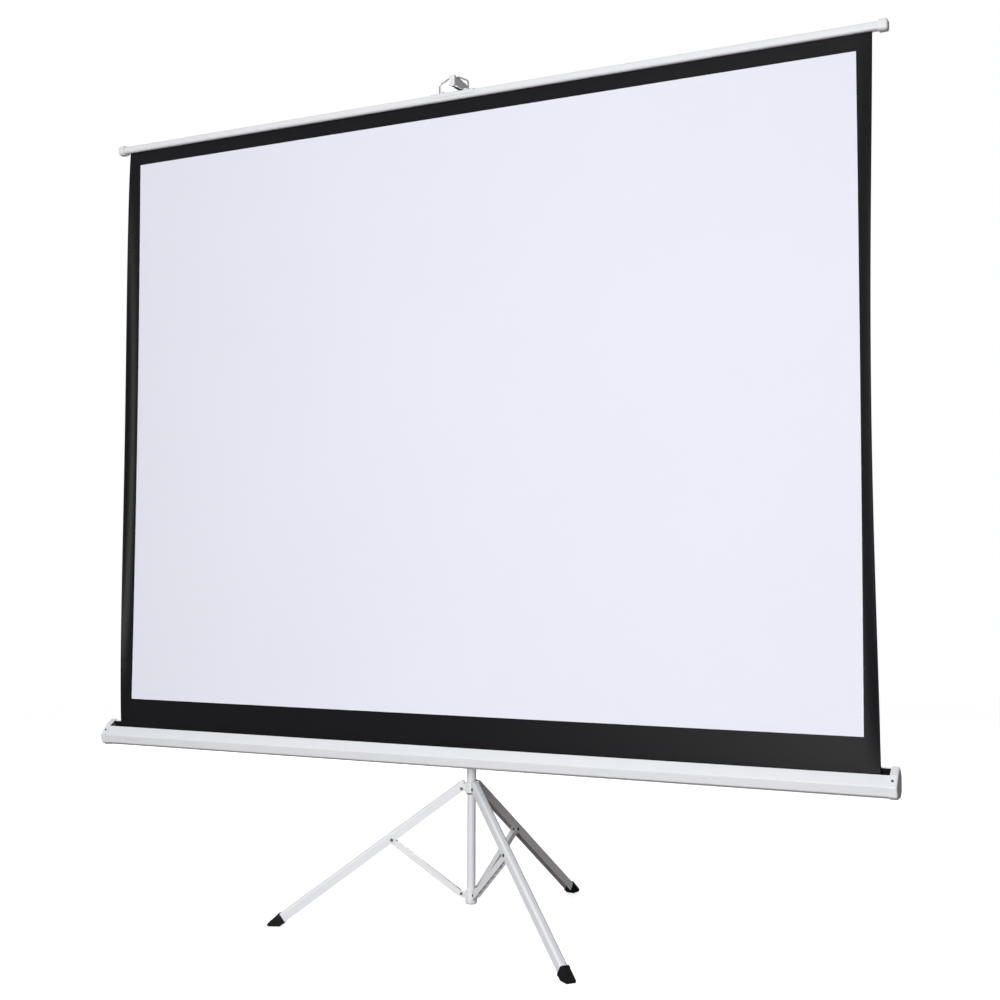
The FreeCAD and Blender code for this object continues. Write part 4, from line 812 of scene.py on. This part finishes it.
class PULLSCREEN_OT_make_fabric(bpy.types.Operator):
    """Make the viewing sheet with its borders, and the turns that stay on the roller"""

    bl_idname = "pullscreen.make_fabric"
    bl_label = "Fabric"

    def execute(self, context):
        cloth = context.scene.screen_fabric
        look = context.scene.screen_finish
        white = cloth_material("white viewing surface", look, look.white_field, look.field_depth,
                               FIELD_ROUGHNESS, USUAL_SHINE)
        border = cloth_material("black border print", look, look.border, look.border_depth,
                                BORDER_ROUGHNESS, BLACK_CLOTH_SHINE)
        back = cloth_material("black fabric back", look, look.border, look.back_depth,
                              BACK_ROUGHNESS, BLACK_CLOTH_SHINE)
        mesh = sheet_mesh(cloth)
        for material in (white, border, back):
            mesh.materials.append(material)
        sheet = add_piece("viewing_sheet", mesh, "case")
        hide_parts("screen_fabric")
        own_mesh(sheet)
        wound = add_piece("wound_turns", wound_mesh(cloth), "roller")
        wound.data.materials.append(back)
        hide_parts("fabric_wrap")
        return {"FINISHED"}


def make_floor_material(stage):
    """Pale floor for the camera, plain white far off, and a dim bounce for every other ray."""
    material, tree, surface = shader("studio floor")
    surface.inputs["Base Color"].default_value = (*stage.floor, 1.0)
    surface.inputs["Roughness"].default_value = FLOOR_ROUGHNESS
    surface.inputs["Specular IOR Level"].default_value = FLOOR_SHINE
    surface.inputs["Emission Color"].default_value = (*WHITE, 1.0)
    surface.inputs["Emission Strength"].default_value = stage.floor_glow
    dim = tree.nodes.new("ShaderNodeBsdfDiffuse")
    dim.inputs["Color"].default_value = (*stage.bounce, 1.0)
    place = tree.nodes.new("ShaderNodeTexCoord")
    reach = tree.nodes.new("ShaderNodeVectorMath")
    reach.operation = "LENGTH"
    fade = tree.nodes.new("ShaderNodeMapRange")
    fade.interpolation_type = "SMOOTHSTEP"
    fade.inputs["From Min"].default_value = stage.clear_radius
    fade.inputs["From Max"].default_value = stage.fade_radius
    glow = tree.nodes.new("ShaderNodeEmission")
    far = tree.nodes.new("ShaderNodeMixShader")
    rays = tree.nodes.new("ShaderNodeLightPath")
    seen = tree.nodes.new("ShaderNodeMixShader")
    end = tree.nodes["Material Output"]
    tree.links.new(place.outputs["Object"], reach.inputs[0])
    tree.links.new(reach.outputs["Value"], fade.inputs["Value"])
    tree.links.new(fade.outputs["Result"], far.inputs["Fac"])
    tree.links.new(surface.outputs["BSDF"], far.inputs[1])
    tree.links.new(glow.outputs["Emission"], far.inputs[2])
    tree.links.new(rays.outputs["Is Camera Ray"], seen.inputs["Fac"])
    tree.links.new(dim.outputs["BSDF"], seen.inputs[1])
    tree.links.new(far.outputs["Shader"], seen.inputs[2])
    tree.links.new(seen.outputs["Shader"], end.inputs["Surface"])
    return material


def add_lamp(name, place, target, size, power, color):
    """Add a square area lamp that faces a target."""
    lamp = bpy.data.lights.new(name, "AREA")
    lamp.size = size
    lamp.energy = power
    lamp.color = color
    holder = bpy.data.objects.new(name, lamp)
    holder.visible_camera = False
    holder.location = place
    holder.rotation_euler = (Vector(target) - Vector(place)).to_track_quat("-Z", "Y").to_euler()
    bpy.context.scene.collection.objects.link(holder)


def set_world(stage):
    """White surroundings that light the object more from the lamps' side than from the far side."""
    world = bpy.data.worlds.new("studio")
    world.use_nodes = True
    tree = world.node_tree
    tree.nodes.clear()
    place = tree.nodes.new("ShaderNodeTexCoord")
    facing = tree.nodes.new("ShaderNodeVectorMath")
    facing.operation = "DOT_PRODUCT"
    facing.inputs[1].default_value = Vector(stage.fill_toward).normalized()
    fill = tree.nodes.new("ShaderNodeMapRange")
    fill.interpolation_type = "SMOOTHSTEP"
    fill.inputs["From Min"].default_value = -1.0
    fill.inputs["To Min"].default_value = stage.fill_dark
    fill.inputs["To Max"].default_value = stage.fill_lit
    soft = tree.nodes.new("ShaderNodeBackground")
    soft.inputs["Color"].default_value = (*COOL, 1.0)
    seen = tree.nodes.new("ShaderNodeBackground")
    seen.inputs["Color"].default_value = (*WHITE, 1.0)
    rays = tree.nodes.new("ShaderNodeLightPath")
    mix = tree.nodes.new("ShaderNodeMixShader")
    end = tree.nodes.new("ShaderNodeOutputWorld")
    tree.links.new(place.outputs["Generated"], facing.inputs[0])
    tree.links.new(facing.outputs["Value"], fill.inputs["Value"])
    tree.links.new(fill.outputs["Result"], soft.inputs["Strength"])
    tree.links.new(rays.outputs["Is Camera Ray"], mix.inputs["Fac"])
    tree.links.new(soft.outputs["Background"], mix.inputs[1])
    tree.links.new(seen.outputs["Background"], mix.inputs[2])
    tree.links.new(mix.outputs["Shader"], end.inputs["Surface"])
    bpy.context.scene.world = world


class PULLSCREEN_OT_make_stage(bpy.types.Operator):
    """Make the floor, the lights and the camera"""

    bl_idname = "pullscreen.make_stage"
    bl_label = "Studio"

    def execute(self, context):
        stage = context.scene.screen_stage
        mesh = bpy.data.meshes.new("floor")
        form = bmesh.new()
        bmesh.ops.create_circle(form, cap_ends=True, segments=FLOOR_SEGMENTS, radius=stage.floor_radius)
        form.to_mesh(mesh)
        form.free()
        mesh.materials.append(make_floor_material(stage))
        floor = bpy.data.objects.new("floor", mesh)
        floor.location.z = -stage.floor_drop
        context.scene.collection.objects.link(floor)
        set_world(stage)
        target = Vector((0.0, SHEET_Y, stage.field_height))
        add_lamp("key lamp", target + Vector(stage.key_place), target, stage.key_size, stage.key, WHITE)
        add_lamp("side lamp", target + Vector(stage.side_place), target, stage.side_size, stage.side, COOL)
        add_lamp("top lamp", target + Vector(stage.top_place), target, stage.top_size, stage.top, WARM)
        add_lamp("back lamp", target + Vector(stage.back_place), target, stage.back_size, stage.back, WHITE)
        lens = bpy.data.cameras.new("camera")
        lens.lens = stage.lens
        lens.sensor_width = stage.sensor
        lens.clip_end = stage.clip_end
        camera = bpy.data.objects.new("camera", lens)
        turn = (Matrix.Rotation(stage.camera_yaw, 4, "Z") @ Matrix.Rotation(stage.camera_pitch, 4, "X")
                @ Matrix.Rotation(stage.camera_roll, 4, "Y") @ Matrix.Rotation(math.pi / 2, 4, "X"))
        camera.matrix_world = Matrix.Translation(target + Vector(stage.camera_place)) @ turn
        context.scene.collection.objects.link(camera)
        context.scene.camera = camera
        context.scene.view_settings.view_transform = "Standard"
        return {"FINISHED"}


class PULLSCREEN_PT_panel(bpy.types.Panel):
    """Lists the pieces and their settings"""

    bl_idname = "PULLSCREEN_PT_panel"
    bl_label = "Projection screen"
    bl_space_type = "VIEW_3D"
    bl_region_type = "UI"
    bl_category = "Screen"

    def draw(self, context):
        layout = self.layout
        for group in (context.scene.screen_fabric, context.scene.screen_finish, context.scene.screen_stage):
            box = layout.box()
            for name in group.bl_rna.properties.keys():
                if name not in ("rna_type", "name"):
                    box.prop(group, name)
        for step in STEPS:
            layout.operator(step.bl_idname)


SETTINGS = (
    ("screen_fabric", ScreenFabricSettings),
    ("screen_finish", ScreenFinishSettings),
    ("screen_stage", ScreenStageSettings),
)
STEPS = (
    PULLSCREEN_OT_finish_frame,
    PULLSCREEN_OT_finish_mouldings,
    PULLSCREEN_OT_finish_fittings,
    PULLSCREEN_OT_finish_feet,
    PULLSCREEN_OT_make_fabric,
    PULLSCREEN_OT_make_stage,
)


def register():
    """Register the settings, the operators and the panel."""
    for name, kind in SETTINGS:
        bpy.utils.register_class(kind)
        setattr(bpy.types.Scene, name, bpy.props.PointerProperty(type=kind))
    for kind in (*STEPS, PULLSCREEN_PT_panel):
        bpy.utils.register_class(kind)


def unregister():
    """Remove what register added."""
    for kind in (PULLSCREEN_PT_panel, *reversed(STEPS)):
        bpy.utils.unregister_class(kind)
    for name, kind in reversed(SETTINGS):
        delattr(bpy.types.Scene, name)
        bpy.utils.unregister_class(kind)


def main():
    """Build every piece in order."""
    register()
    GROUPS["grain"] = make_grain_group()
    GROUPS["handling"] = make_handling_group()
    GROUPS["weave"] = make_weave_group()
    GROUPS["inside"] = make_inside_group()
    GROUPS["core"] = make_core_group()
    bpy.ops.pullscreen.finish_frame()
    bpy.ops.pullscreen.finish_mouldings()
    bpy.ops.pullscreen.finish_fittings()
    bpy.ops.pullscreen.finish_feet()
    bpy.ops.pullscreen.make_fabric()
    bpy.ops.pullscreen.make_stage()


if __name__ == "__main__":
    main()
